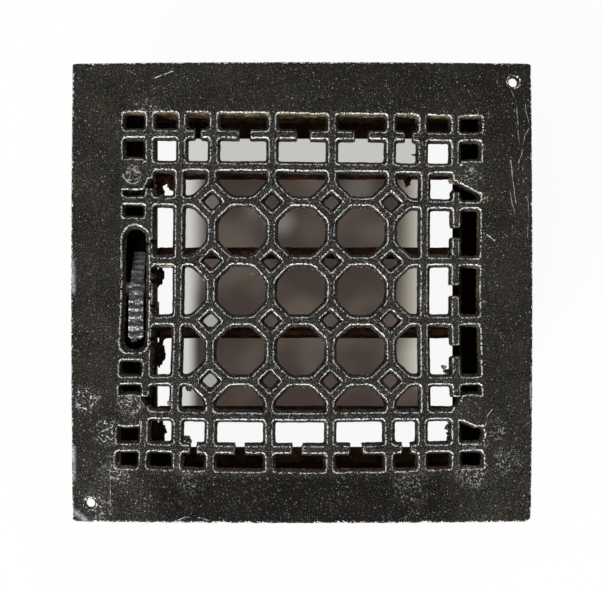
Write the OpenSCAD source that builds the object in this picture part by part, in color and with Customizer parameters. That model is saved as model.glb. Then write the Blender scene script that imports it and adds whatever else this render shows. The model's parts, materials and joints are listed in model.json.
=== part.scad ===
// Antique cast-iron floor register: a pierced face, a folded sheet case and a bank
// of four louvers that a ribbed rocker in the face opens and shuts.
// The face looks up (+Z), the case stands on z = 0, and the origin is under the
// middle of the face. The louvers are drawn open, as they stand at rest.

/* [Face] */
// Side of the square face plate
face_w = 254; // [240:1:280]
// Thickness of the face casting
face_t = 6; // [5:0.5:8]
// Side of the square pierced window
window_w = 197.2; // [195:0.2:199]
// Sideways shift of the window from the middle of the plate
window_dx = -0.5; // [-1:0.1:1]
// Shift of the window towards the back
window_dy = 1; // [-1:0.1:1.5]
// Worn bevel round the top edge of the plate
edge_bevel = 1.2; // [0.5:0.1:2]

/* [Pattern] */
// Width of a bar on its flat crest
bar_w = 3.3; // [2.8:0.1:3.8]
// Slope of each side of a bar, over the thickness of the face
bar_draft = 1.85; // [1:0.05:2.1]
// Distance between the small diamonds of the field
lattice_pitch = 32.9; // [31:0.1:33]
// Flat side of a diamond from its middle, on the crest
diamond_flat = 4.95; // [4.2:0.05:5.2]
// Long side bars, from the middle of the window
side_bar_x = 66; // [65.5:0.1:67]
// Outer side bars, from the middle of the window
outer_bar_x = 83.8; // [83:0.1:85]
// Long end bars, from the middle of the window
end_bar_y = 68.4; // [67.5:0.1:70]
// Outer end bars, from the middle of the window
outer_bar_y = 86.3; // [85.5:0.1:87]
// Corner radius of a cell
cell_r = 2; // [1:0.1:2.2]
// Break in a bar between two wide cells, at the back of the face
wide_gap = 5.8; // [4:0.2:8]
// Break in a bar between two narrow cells
narrow_gap = 3.2; // [2.6:0.2:5]
// Slope of a bar's end at a break, over the thickness of the face
gap_draft = 0.85; // [0.5:0.05:1.5]

/* [Bosses and screw holes] */
// Round bosses, sideways from the middle of the plate
boss_x = 93; // [91:0.1:93.5]
// Round bosses, from the middle of the plate towards the back and front
boss_y = 65; // [63:0.1:66]
// Radius of a boss on its crest
boss_r = 8.3; // [7:0.1:9]
// Half of the level land from a boss to the border
boss_land = 8.1; // [7.5:0.1:8.5]
// Screw holes, sideways from the middle of the plate
screw_x = 116.3; // [113:0.1:118]
// Screw holes, from the middle of the plate towards the back and front
screw_y = 115.8; // [113:0.1:118]
// Radius of a screw hole
screw_r = 2.5; // [2:0.1:3]
// Radius of the countersink at the face
sink_r = 3.95; // [3.6:0.05:4.5]

/* [Rocker slot] */
// Length of the slot on the face
slot_l = 70.6; // [69:0.1:72]
// Width of the slot on the face
slot_w = 15.4; // [15:0.1:16]
// Middle of the slot, sideways
slot_x = -91.5; // [-91.6:0.1:-91.4]
// Middle of the slot, towards the back
slot_y = 1.9; // [1.5:0.1:2.5]
// Slope of each wall of the slot
slot_draft = 2.2; // [1.5:0.1:2.3]

/* [Case] */
// Height of the case under the face
case_h = 66; // [65:1:80]
// Inside width of the case, square
case_w = 200; // [199.8:0.1:200.4]
// Thickness of the sheet
sheet_t = 1.2; // [1:0.1:1.5]
// Lip folded in along the bottom of the back and front walls
lip_w = 9; // [6:0.5:10]
// Tab of a side wall that is folded round the corner
tab_w = 15; // [13:0.5:18]
// Inner face of the left rail, from the middle
left_rail_x = 85; // [84.8:0.1:85.2]
// Inner face of the right rail, from the middle
right_rail_x = 88.9; // [88:0.1:90]
// Depth of the rails' top edge under the face
rail_drop = 19; // [16:0.5:24]

/* [Louvers] */
// Distance between louver axles
louver_pitch = 45.7; // [45.5:0.1:47]
// Width of a louver from edge to edge
louver_w = 49; // [47:0.5:49]
// Thickness of a louver's plate
louver_t = 2.6; // [2:0.1:3]
// Radius of the rib along a louver's axle
rib_r = 3.5; // [3.2:0.1:4]
// Radius of an axle stub
axle_r = 3; // [2.4:0.1:3]
// Depth of the axles under the face
axle_drop = 41; // [39:0.5:41]
// Radius from a louver's axle to its link rivet
crank_r = 18; // [17.6:0.1:18.4]
// Angle of the cranks from the louvers, towards the front
crank_a = 45; // [44:0.5:46]
// Thickness of a crank
crank_t = 2.5; // [2:0.1:3]

/* [Rocker and tie bar] */
// Radius of the rocker's ribbed back
rocker_back_r = 47; // [44:0.5:50]
// Half of the angle that the ribbed back spans
rocker_span = 36.5; // [34:0.5:38]
// Width of the ribbed back
rocker_w = 8.6; // [7.5:0.1:9]
// Rise of the ribbed back above the pivot
rocker_rise = 4.6; // [4:0.1:5]
// Tilt of the rocker as it stands, front end up
rocker_tilt = 30.5; // [29:0.5:32]
// Depth of the rocker's pivot under the underside of the face
pivot_drop = 7; // [6.5:0.1:7.5]
// Radius from the pivot to the drive pin
drive_r = 25; // [24.5:0.1:25.5]
// Radius of the drive pin and of the pivot pin
pin_r = 2; // [1.8:0.1:2.2]
// Height of the tie bar
tie_h = 8; // [7:0.5:9]
// Thickness of the tie bar
tie_t = 2.2; // [1.8:0.1:2.4]
// Radius of a rivet's shank
rivet_r = 1.5; // [1.2:0.1:1.8]
// Radius of a rivet's head
rivet_head_r = 3; // [2.5:0.1:3.5]

/* [Clearances] */
// Radial gap of a pin or axle in its hole
pin_gap = 0.06; // [0.04:0.01:0.1]
// Gap between pieces that slide past each other
side_gap = 0.4; // [0.3:0.05:0.5]
// Gap of the drive pin to each side of its slot
drive_gap = 0.45; // [0.4:0.01:0.6]

/* [Hidden] */
$fn = 48;
eps = 0.5;

paint = [0.16, 0.155, 0.145];
sheet = [0.27, 0.19, 0.14];
steel = [0.35, 0.33, 0.31];

// Window pattern: the bars' centre lines, from the middle of the window
window_half = window_w / 2;
lattice_half = lattice_pitch / 2;
column_edge = [
  -window_half, -outer_bar_x, -side_bar_x, -3 * lattice_half, -lattice_half,
  lattice_half, 3 * lattice_half, side_bar_x, outer_bar_x, window_half
];
row_edge = [
  -window_half, -outer_bar_y, -end_bar_y, -3 * lattice_half, -lattice_half,
  lattice_half, 3 * lattice_half, end_bar_y, outer_bar_y, window_half
];
last_cell = len(column_edge) - 2;
octagon_flat = lattice_half - bar_w / 2;
octagon_turn = 22.5;
octagon_corner = cos(octagon_turn);
bar_base = bar_w + 2 * bar_draft;
face_z = case_h;
top_z = case_h + face_t;
axle_z = case_h - axle_drop;
rail_h = case_h - rail_drop;

// Case: inner and outer faces of the walls
case_in = case_w / 2;
case_out = case_in + sheet_t;
rivet_x = case_in - tab_w / 2 + sheet_t / 2;
low_rivet_z = 14;
mid_rivet_drop = 13;
top_rivet_drop = 10;
corner_rivet_z = [low_rivet_z, rail_h - mid_rivet_drop, case_h - top_rivet_drop];
rail_tab_drop = 5;
hole_past = 5;
lug_t = 1.5;
lug_w = 14;
lug_drop = 16;
lug_past = 6.5;
lug_reach = case_in - boss_x + lug_past;
lug_rivet_z = case_h - top_rivet_drop;
stud_r = 2;
stud_depth = 3;
boss_head_r = 5;
boss_head_t = 1.2;
boss_draft = 1;
thin_gap = 0.2;
head_taper = 0.7;

// Louvers: axles, ends and cranks
louver_y = [for (i = [0:3]) (i - 1.5) * louver_pitch];
axle_poke = 1.8;
louver_gap = 0.5;
louver_left = -left_rail_x + louver_gap;
louver_right = right_rail_x - louver_gap;
tie_left = -left_rail_x + side_gap;
tie_right = tie_left + tie_t;
crank_left = tie_right + side_gap;
plate_left = tie_right + thin_gap;
link_head_t = 1.2;
link_head_r = 3.2;
notch_room = 0.8;
notch_right = crank_left + crank_t + link_head_t + notch_room;
crank_end_r = 3.6;
link_dy = -crank_r * sin(crank_a);
link_z = axle_z + crank_r * cos(crank_a);

// Rocker: pivot and drive pin at rest
pivot_shift = 0.4;
pivot_y = slot_y - pivot_shift;
pivot_z = face_z - pivot_drop;
hub_r = 4.5;
hub_left = -case_in + thin_gap;
hub_right = -left_rail_x - sheet_t - thin_gap;
web_t = 3;
back_t = 2.6;
rib_count = 13;
rib_rise = 0.7;
rib_sink = 0.2;
rib_spread = 0.95;
drive_y = pivot_y - drive_r * sin(rocker_tilt);
drive_z = pivot_z - drive_r * cos(rocker_tilt);
drive_sweep = 14;
drive_lift = 11.5;
slot_spare = 1;
slot_up = drive_z - link_z + pin_r + slot_spare;
slot_down = slot_up - 2 * pin_r - drive_lift;
web_reach = 24;
web_skirt = 2.5;
web_neck = 4;
web_flare = 1;
web_sink = 1;
press_gap = 0.02;
arm_r = 4;
pivot_head_r = 4;
drive_head_r = 3.2;
rivet_head_t = 1.2;

// Flat outline in the Y-Z plane, pushed out along +X from x0 to x1
module along_x(x0, x1) {
  translate([x0, 0, 0])
    rotate([90, 0, 90])
      linear_extrude(height = x1 - x0)
        children();
}

// Shank along X with a head at each named end
module rivet_x_way(x0, x1, r, head_r, head_t, left_head = true, right_head = true) {
  translate([x0, 0, 0])
    rotate([0, 90, 0])
      cylinder(h = x1 - x0, r = r);
  if (left_head)
    translate([x0 - head_t, 0, 0])
      rotate([0, 90, 0])
        cylinder(h = head_t, r1 = head_r * head_taper, r2 = head_r);
  if (right_head)
    translate([x1, 0, 0])
      rotate([0, 90, 0])
        cylinder(h = head_t, r1 = head_r, r2 = head_r * head_taper);
}

// Drafted cell of the face: full size on the crest, narrower by the draft at the back
module cell(x0, x1, y0, y1, r, draft) {
  w = x1 - x0;
  d = y1 - y0;
  back = [w - 2 * draft, d - 2 * draft];
  flare = [w / back[0], d / back[1]];
  translate([(x0 + x1) / 2, (y0 + y1) / 2, face_z - eps])
    linear_extrude(height = face_t + 2 * eps, slices = 1, segments = 4, scale = flare)
      offset(r = r, $fn = 12)
        square([back[0] - 2 * r, back[1] - 2 * r], center = true);
}

// Cell between two column bars and two row bars
module grid_cell(column, row) {
  x0 = column_edge[column] + (column == 0 ? 0 : bar_w / 2);
  x1 = column_edge[column + 1] - (column == last_cell ? 0 : bar_w / 2);
  y0 = row_edge[row] + (row == 0 ? 0 : bar_w / 2);
  y1 = row_edge[row + 1] - (row == last_cell ? 0 : bar_w / 2);
  cell(x0, x1, y0, y1, cell_r, bar_draft);
}

// Break through a bar that runs along X, with the bar's two ends sloped
module bar_break(x, y, w) {
  flare = [(w + 2 * gap_draft) / w, 1];
  translate([x, y, face_z - eps])
    linear_extrude(height = face_t + 2 * eps, slices = 1, segments = 4, scale = flare)
      square([w, bar_base + 2 * eps], center = true);
}

// Octagons and diamonds of the field, cut off along the long bars
module field_cells() {
  x = side_bar_x - bar_w / 2;
  y = end_bar_y - bar_w / 2;
  intersection() {
    cell(-x, x, -y, y, 1, bar_draft);
    union() {
      for (i = [-2:2])
        for (j = [-2:2])
          translate([i * lattice_pitch, j * lattice_pitch, face_z - eps])
            rotate([0, 0, octagon_turn])
              cylinder(
                h = face_t + 2 * eps,
                r1 = (octagon_flat - bar_draft) / octagon_corner,
                r2 = octagon_flat / octagon_corner,
                $fn = 8
              );
      for (i = [-1.5:1.5])
        for (j = [-1.5:1.5])
          translate([i * lattice_pitch, j * lattice_pitch, face_z - eps])
            cylinder(
              h = face_t + 2 * eps,
              r1 = (diamond_flat - bar_draft) * sqrt(2),
              r2 = diamond_flat * sqrt(2),
              $fn = 4
            );
    }
  }
}

// Cells of the border, all round the field
module border_cells() {
  for (column = [0:last_cell])
    for (row = [0, 1, last_cell - 1, last_cell])
      grid_cell(column, row);
  for (row = [2:last_cell - 2]) {
    grid_cell(1, row);
    grid_cell(last_cell - 1, row);
    grid_cell(last_cell, row);
  }
  grid_cell(0, 2);
  grid_cell(0, last_cell - 2);
  slot_end = slot_l / 2 + bar_w;
  middle = slot_y - window_dy;
  inner_x = -outer_bar_x - bar_w / 2;
  cell(-window_half, inner_x, middle + slot_end, row_edge[6] - bar_w / 2, cell_r, bar_draft);
  cell(-window_half, inner_x, row_edge[3] + bar_w / 2, middle - slot_end, cell_r, bar_draft);
}

// Breaks in the outer bars: five at the back, five at the front, three on the right
module bar_breaks() {
  for (column = [2:last_cell - 2]) {
    x = (column_edge[column] + column_edge[column + 1]) / 2;
    w = (column == 2 || column == last_cell - 2) ? narrow_gap : wide_gap;
    bar_break(x, outer_bar_y, w);
    bar_break(x, -outer_bar_y, w);
  }
  for (row = [3:last_cell - 3])
    rotate([0, 0, 90])
      bar_break((row_edge[row] + row_edge[row + 1]) / 2, -outer_bar_x, wide_gap);
}

// Little notch beside each boss, where the cell reaches through the outer bar
module boss_notches() {
  notch = 4.5;
  notch_in = 5;
  for (side = [-1, 1])
    for (end = [-1, 1])
      translate([side * outer_bar_x, end * (boss_y - notch_in) - notch / 2, face_z - eps])
        translate([-bar_base / 2, 0, 0])
          cube([bar_base, notch, face_t + 2 * eps]);
}

// Round boss, with a straight-sided land that joins it to the border; drawn for the right side
module boss() {
  land_in = 5;
  land_l = window_half - boss_x + land_in + boss_draft;
  land_foot = boss_land + boss_draft;
  translate([0, 0, face_z])
    cylinder(h = face_t, r1 = boss_r + boss_draft, r2 = boss_r);
  translate([-land_in, 0, face_z])
    linear_extrude(height = face_t, slices = 1, scale = [1, boss_land / land_foot])
      translate([0, -land_foot])
        square([land_l, 2 * land_foot]);
}

// Slot of the rocker: full round at the back end, small corners at the front end
module rocker_slot() {
  back_w = slot_w - 2 * slot_draft;
  back_l = slot_l - 2 * slot_draft;
  round_r = back_w / 2;
  small_r = 3;
  flare = [slot_w / back_w, slot_l / back_l];
  translate([slot_x, slot_y, face_z - eps])
    linear_extrude(height = face_t + 2 * eps, slices = 1, segments = 4, scale = flare)
      union() {
        translate([0, back_l / 2 - round_r])
          circle(r = round_r, $fn = 24);
        translate([-round_r, -back_l / 2 + small_r])
          square([back_w, back_l - round_r - small_r]);
        translate([-round_r + small_r, -back_l / 2])
          square([back_w - 2 * small_r, small_r]);
        for (side = [-1, 1])
          translate([side * (round_r - small_r), -back_l / 2 + small_r])
            circle(r = small_r, $fn = 24);
      }
}

// Screw hole with its countersink
module screw_hole() {
  sink_h = sink_r - screw_r;
  translate([0, 0, face_z - eps])
    cylinder(h = face_t + 2 * eps, r = screw_r);
  translate([0, 0, top_z - sink_h])
    cylinder(h = sink_h + eps, r1 = screw_r, r2 = sink_r + eps);
}

// Stud holes under the bosses: one goes through, for the rivet that shows
module stud_holes() {
  for (side = [-1, 1])
    for (end = [-1, 1])
      translate([side * boss_x, end * boss_y, face_z - eps])
        cylinder(h = stud_depth + eps, r = stud_r + pin_gap);
  translate([-boss_x, boss_y, face_z])
    cylinder(h = face_t + eps, r = stud_r + pin_gap);
  translate([-boss_x, boss_y, top_z - boss_head_t])
    cylinder(h = boss_head_t + eps, r = boss_head_r + pin_gap);
}

module face_plate() {
  translate([-face_w / 2, -face_w / 2, face_z])
    cube([face_w, face_w, face_t - edge_bevel]);
  translate([0, 0, top_z - edge_bevel])
    linear_extrude(height = edge_bevel, slices = 1, scale = (face_w - 2 * edge_bevel) / face_w)
      square(face_w, center = true);
}

module face_grille() {
  color(paint)
    difference() {
      union() {
        difference() {
          face_plate();
          translate([window_dx, window_dy, 0]) {
            border_cells();
            field_cells();
            bar_breaks();
          }
          boss_notches();
          rocker_slot();
        }
        for (side = [-1, 1])
          for (end = [-1, 1])
            translate([side * boss_x, end * boss_y, 0])
              mirror([side > 0 ? 0 : 1, 0, 0])
                boss();
      }
      translate([screw_x, screw_y, 0])
        screw_hole();
      translate([-screw_x, -screw_y, 0])
        screw_hole();
      stud_holes();
    }
}

// Holes through a wall, its corner tab and a rail's end tab, along Y
module corner_holes(r) {
  for (side = [-1, 1])
    for (z = corner_rivet_z)
      translate([side * rivet_x, -case_out - hole_past, z])
        rotate([-90, 0, 0])
          cylinder(h = 2 * (case_out + hole_past), r = r);
}

// Wall across the case with its lip folded in; end is +1 for the back, -1 for the front
module end_wall(end) {
  color(sheet)
    difference() {
      union() {
        translate([-case_in, end > 0 ? case_in : -case_out, 0])
          cube([case_w, sheet_t, case_h]);
        translate([-case_in, end > 0 ? case_in - lip_w : -case_in, 0])
          cube([case_w, lip_w, sheet_t]);
      }
      corner_holes(rivet_r + pin_gap);
    }
}

module back_wall() {
  end_wall(1);
}

module front_wall() {
  end_wall(-1);
}

// Side wall with its two tabs folded over the end walls; side is -1 left, +1 right
module side_wall(side) {
  color(sheet)
    difference() {
      union() {
        translate([side > 0 ? case_in : -case_out, -case_out, 0])
          cube([sheet_t, 2 * case_out, case_h]);
        for (end = [-1, 1])
          translate([side > 0 ? case_out - tab_w : -case_out, end > 0 ? case_out : -case_out - sheet_t, 0])
            cube([tab_w, sheet_t, case_h]);
      }
      corner_holes(rivet_r + pin_gap);
      for (end = [-1, 1])
        translate([0, end * boss_y, lug_rivet_z])
          along_x(-case_out - eps, case_out + eps)
            circle(r = rivet_r + pin_gap);
      if (side < 0)
        translate([0, pivot_y, pivot_z])
          along_x(-case_out - eps, -case_in + eps)
            circle(r = pin_r + pin_gap);
    }
}

module left_wall() {
  side_wall(-1);
}

module right_wall() {
  side_wall(1);
}

// Rail that carries the axles: a web, a foot folded out to the side wall and two end tabs.
// It is drawn for the left side, with its inner face at x = -inner.
module rail(inner) {
  web_out = inner + sheet_t;
  tab_gap = 2;
  tab_out = case_in - tab_gap;
  difference() {
    union() {
      translate([-web_out, -case_in, sheet_t])
        cube([sheet_t, case_w, rail_h - sheet_t]);
      translate([-case_in, -case_in, sheet_t])
        cube([case_in - web_out, case_w, sheet_t]);
      for (end = [-1, 1])
        translate([-tab_out, end > 0 ? case_in - sheet_t : -case_in, 2 * sheet_t])
          cube([tab_out - web_out, sheet_t, rail_h - rail_tab_drop - 2 * sheet_t]);
      children();
    }
    corner_holes(rivet_r + pin_gap);
    for (y = louver_y)
      translate([0, y, axle_z])
        along_x(-web_out - eps, -inner + eps)
          circle(r = axle_r + pin_gap);
  }
}

module left_rail() {
  ear_w = 14;
  ear_drop = 1.5;
  ear_top = case_h - ear_drop;
  window_gap = 2;
  pin_room = 0.6;
  color(sheet)
    difference() {
      rail(left_rail_x)
        translate([-left_rail_x - sheet_t, pivot_y - ear_w / 2, rail_h - 2 * eps])
          cube([sheet_t, ear_w, ear_top - rail_h + 2 * eps]);
      translate([0, pivot_y, pivot_z])
        along_x(-left_rail_x - sheet_t - eps, -left_rail_x + eps)
          circle(r = pin_r + pin_gap);
      translate([0, pivot_y, 0])
        along_x(-left_rail_x - sheet_t - eps, -left_rail_x + eps)
          translate([-drive_sweep - window_gap, pivot_z - drive_r - pin_r - pin_room])
            square([
              2 * (drive_sweep + window_gap),
              drive_z - pivot_z + drive_r + 2 * pin_r + pin_room + slot_spare
            ]);
    }
}

module right_rail() {
  color(sheet)
    mirror([1, 0, 0])
      rail(right_rail_x);
}

// Rivets through the corner tabs; the two lower ones also hold a rail's end tab
module corner_rivets() {
  color(steel)
    for (side = [-1, 1])
      for (end = [-1, 1])
        for (z = corner_rivet_z) {
          inner = z < rail_h - rail_tab_drop ? sheet_t : 0;
          translate([side * rivet_x, end * (case_in - inner), z])
            rotate([0, 0, end * 90])
              rivet_x_way(0, 2 * sheet_t + inner, rivet_r, rivet_head_r, rivet_head_t);
        }
}

// Angle bracket under a boss, against the side wall; drawn for the right side
module lug(side, end) {
  color(sheet)
    mirror([side > 0 ? 0 : 1, 0, 0])
      difference() {
        union() {
          translate([case_in - lug_reach, end * boss_y - lug_w / 2, case_h - lug_t])
            cube([lug_reach, lug_w, lug_t]);
          translate([case_in - lug_t, end * boss_y - lug_w / 2, case_h - lug_drop])
            cube([lug_t, lug_w, lug_drop]);
        }
        translate([boss_x, end * boss_y, case_h - lug_t - eps])
          cylinder(h = lug_t + 2 * eps, r = stud_r + pin_gap);
        translate([0, end * boss_y, lug_rivet_z])
          along_x(case_in - lug_t - eps, case_in + eps)
            circle(r = rivet_r + pin_gap);
      }
}

module lug_back_left() {
  lug(-1, 1);
}

module lug_back_right() {
  lug(1, 1);
}

module lug_front_left() {
  lug(-1, -1);
}

module lug_front_right() {
  lug(1, -1);
}

module lug_rivets() {
  color(steel)
    for (side = [-1, 1])
      for (end = [-1, 1])
        mirror([side > 0 ? 0 : 1, 0, 0])
          translate([case_in - lug_t, end * boss_y, lug_rivet_z])
            rivet_x_way(0, lug_t + sheet_t, rivet_r, rivet_head_r, rivet_head_t);
}

// Studs that hold the face to the brackets; the back left one is a rivet with a flush head
module face_rivets() {
  foot_t = 1.4;
  foot_r = 3.6;
  head_proud = 0.2;
  color(paint)
    for (side = [-1, 1])
      for (end = [-1, 1])
        translate([side * boss_x, end * boss_y, 0]) {
          through = side < 0 && end > 0;
          translate([0, 0, face_z - lug_t - foot_t])
            cylinder(h = foot_t, r1 = foot_r * head_taper, r2 = foot_r);
          translate([0, 0, face_z - lug_t])
            cylinder(h = lug_t + (through ? face_t - boss_head_t : stud_depth - thin_gap), r = stud_r);
          if (through)
            translate([0, 0, top_z - boss_head_t])
              cylinder(h = boss_head_t + head_proud, r = boss_head_r);
        }
}

// Rocker casting: ribbed back, web, hub and drive arm, tilted as it stands
module rocker_lever() {
  back_y = rocker_rise - rocker_back_r;
  reach = 1.2 * rocker_back_r;
  rib_circle_r = rocker_back_r - rib_sink;
  rise = 2 * rocker_rise;
  color(paint)
    translate([0, pivot_y, pivot_z])
      rotate([-rocker_tilt, 0, 0])
        difference() {
          union() {
            along_x(slot_x - rocker_w / 2, slot_x + rocker_w / 2)
              intersection() {
                difference() {
                  translate([0, back_y])
                    circle(r = rocker_back_r, $fn = 180);
                  translate([0, back_y])
                    circle(r = rocker_back_r - back_t, $fn = 180);
                }
                translate([0, back_y])
                  polygon([
                    [0, 0],
                    [-reach * sin(rocker_span), reach * cos(rocker_span)],
                    [0, 2 * reach],
                    [reach * sin(rocker_span), reach * cos(rocker_span)]
                  ]);
              }
            for (i = [0:rib_count - 1]) {
              a = rocker_span * (2 * i / (rib_count - 1) - 1) * rib_spread;
              translate([0, rib_circle_r * sin(a), back_y + rib_circle_r * cos(a)])
                along_x(slot_x - rocker_w / 2, slot_x + rocker_w / 2)
                  circle(r = rib_rise + rib_sink, $fn = 24);
            }
            along_x(slot_x - web_t / 2, slot_x + web_t / 2)
              union() {
                intersection() {
                  translate([0, back_y])
                    circle(r = rocker_back_r - web_sink, $fn = 180);
                  polygon([
                    [-arm_r, -drive_r], [arm_r, -drive_r], [hub_r + web_flare, -hub_r - web_neck],
                    [web_reach, -web_skirt], [web_reach, rise], [-web_reach, rise],
                    [-web_reach, -web_skirt], [-hub_r - web_flare, -hub_r - web_neck]
                  ]);
                }
                translate([0, -drive_r])
                  circle(r = arm_r);
              }
            along_x(hub_left, hub_right)
              circle(r = hub_r);
          }
          along_x(hub_left - eps, hub_right + eps)
            circle(r = pin_r + pin_gap);
          translate([0, 0, -drive_r])
            along_x(slot_x - web_t, slot_x + web_t)
              circle(r = pin_r + press_gap);
        }
}

// Pivot pin: through the left wall, the rocker's hub and the ear of the left rail
module rocker_pin() {
  color(steel)
    translate([0, pivot_y, pivot_z])
      rivet_x_way(-case_out, -left_rail_x, pin_r, pivot_head_r, sheet_t, true, false);
}

// Drive pin: held in the rocker's arm, runs in the slot of the tie bar
module drive_pin() {
  color(steel)
    translate([0, drive_y, drive_z])
      rivet_x_way(slot_x - web_t / 2, tie_right, pin_r, drive_head_r, rivet_head_t, true, false);
}

// Tie bar: links the four cranks and hangs a slotted plate down for the drive pin
module tie_bar() {
  plate_w = 12;
  plate_end = 2.5;
  color(steel)
    translate([0, 0, link_z])
      difference() {
        along_x(tie_left, tie_right)
          union() {
            translate([louver_y[0] + link_dy, -tie_h / 2])
              square([louver_y[3] - louver_y[0], tie_h]);
            for (i = [0, 3])
              translate([louver_y[i] + link_dy, 0])
                circle(r = tie_h / 2);
            translate([drive_y - plate_w / 2, slot_down - plate_end])
              square([plate_w, plate_end - slot_down]);
          }
        for (y = louver_y)
          translate([0, y + link_dy, 0])
            along_x(tie_left - eps, tie_right + eps)
              circle(r = rivet_r + pin_gap);
        along_x(tie_left - eps, tie_right + eps)
          translate([drive_y - pin_r - drive_gap, slot_down])
            square([2 * (pin_r + drive_gap), slot_up - slot_down]);
      }
}

// Louver casting: plate, axle rib, two axle stubs and the crank at its left end
module louver(i) {
  color(sheet)
    translate([0, louver_y[i], axle_z])
      difference() {
        union() {
          translate([plate_left, -louver_t / 2, -louver_w / 2])
            cube([louver_right - plate_left, louver_t, louver_w / 2]);
          translate([notch_right, -louver_t / 2, 0])
            cube([louver_right - notch_right, louver_t, louver_w / 2]);
          along_x(louver_left, louver_right)
            circle(r = rib_r);
          along_x(-left_rail_x - axle_poke, right_rail_x + axle_poke)
            circle(r = axle_r);
          along_x(crank_left, crank_left + crank_t)
            rotate([0, 0, crank_a])
              union() {
                translate([-crank_end_r, 0])
                  square([2 * crank_end_r, crank_r]);
                translate([0, crank_r])
                  circle(r = crank_end_r);
                circle(r = crank_end_r);
              }
        }
        translate([0, link_dy, link_z - axle_z])
          along_x(crank_left - eps, crank_left + crank_t + eps)
            circle(r = rivet_r + pin_gap);
      }
}

module louver_1() {
  louver(0);
}

module louver_2() {
  louver(1);
}

module louver_3() {
  louver(2);
}

module louver_4() {
  louver(3);
}

// Link rivet: flush in the tie bar, with its head on the far side of the crank
module link_rivet(i) {
  color(steel)
    translate([0, louver_y[i] + link_dy, link_z])
      rivet_x_way(tie_left, crank_left + crank_t, rivet_r, link_head_r, link_head_t, false, true);
}

module link_rivet_1() {
  link_rivet(0);
}

module link_rivet_2() {
  link_rivet(1);
}

module link_rivet_3() {
  link_rivet(2);
}

module link_rivet_4() {
  link_rivet(3);
}

face_grille();
back_wall();
front_wall();
left_wall();
right_wall();
left_rail();
right_rail();
corner_rivets();
lug_back_left();
lug_back_right();
lug_front_left();
lug_front_right();
lug_rivets();
face_rivets();
rocker_lever();
rocker_pin();
drive_pin();
tie_bar();
louver_1();
louver_2();
louver_3();
louver_4();
link_rivet_1();
link_rivet_2();
link_rivet_3();
link_rivet_4();
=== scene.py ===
"""Looks of an antique cast-iron floor register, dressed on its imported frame.

The pierced face is cast again with soft, uneven edges, the rocker and the louvers are
roughened copies of their solids, and every other solid keeps its shape under a rusty finish.
"""

import json
import logging
import math
from dataclasses import dataclass
from enum import Enum
from functools import partial, reduce

import bmesh
import bpy
import numpy as np
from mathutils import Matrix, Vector, noise
from mathutils.geometry import delaunay_2d_cdt


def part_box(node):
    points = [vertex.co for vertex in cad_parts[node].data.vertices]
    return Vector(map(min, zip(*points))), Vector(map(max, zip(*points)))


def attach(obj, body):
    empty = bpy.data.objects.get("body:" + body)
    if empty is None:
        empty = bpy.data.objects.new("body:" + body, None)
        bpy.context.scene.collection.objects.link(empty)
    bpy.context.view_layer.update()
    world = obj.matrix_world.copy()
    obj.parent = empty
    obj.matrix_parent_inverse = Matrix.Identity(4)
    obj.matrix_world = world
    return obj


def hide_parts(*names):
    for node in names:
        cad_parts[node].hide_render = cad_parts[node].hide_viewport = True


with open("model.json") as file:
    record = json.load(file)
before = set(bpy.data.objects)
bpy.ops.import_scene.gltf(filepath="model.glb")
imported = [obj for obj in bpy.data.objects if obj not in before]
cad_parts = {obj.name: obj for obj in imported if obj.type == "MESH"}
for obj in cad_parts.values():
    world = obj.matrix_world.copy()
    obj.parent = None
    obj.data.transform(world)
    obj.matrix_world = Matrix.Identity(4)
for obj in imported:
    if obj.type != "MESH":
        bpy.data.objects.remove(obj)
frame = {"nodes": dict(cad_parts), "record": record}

LOG = logging.getLogger("register")
MM = 0.001
Array = np.ndarray
Mesh = bpy.types.Mesh
Material = bpy.types.Material
Piece = bpy.types.Object
Node = bpy.types.Node
NodeTree = bpy.types.NodeTree
Socket = bpy.types.NodeSocket
Sockets = bpy.types.bpy_prop_collection
Colour = tuple[float, float, float]
Spot = tuple[float, float, float, float]
SIGNS = ((1, 1), (-1, 1), (-1, -1), (1, -1))


def linear(red: float, green: float, blue: float) -> Colour:
    """Turn a colour as it looks, 0 to 255, into the linear values that shaders use."""
    values = [channel / 255 for channel in (red, green, blue)]
    return tuple(v / 12.92 if v <= 0.04045 else ((v + 0.055) / 1.055) ** 2.4 for v in values)


def placed(name: str, data: bpy.types.ID) -> Piece:
    """Make an object and put it into the scene.

    Args:
        name: Name of the object.
        data: Its mesh, lamp or camera.

    Returns:
        The object.
    """
    made = bpy.data.objects.new(name, data)
    bpy.context.scene.collection.objects.link(made)
    return made


def set_worn(mesh: Mesh, values: object) -> None:
    """Note at each vertex how far it has been rubbed, for the finishes to see."""
    mesh.attributes.new("worn", "FLOAT", "POINT").data.foreach_set("value", values)


def soft_min(a: Array, b: Array, width: float) -> Array:
    """Smaller of two fields, with the crease between them rounded.

    Args:
        a: First field.
        b: Second field.
        width: How far from the crease the rounding starts.

    Returns:
        The rounded minimum.
    """
    near = np.maximum(width - np.abs(a - b), 0) / width
    return np.minimum(a, b) - near * near * width / 4


def soft_max(a: Array, b: Array, width: float) -> Array:
    """Larger of two fields, with the crease between them rounded."""
    return -soft_min(-a, -b, width)


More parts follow.
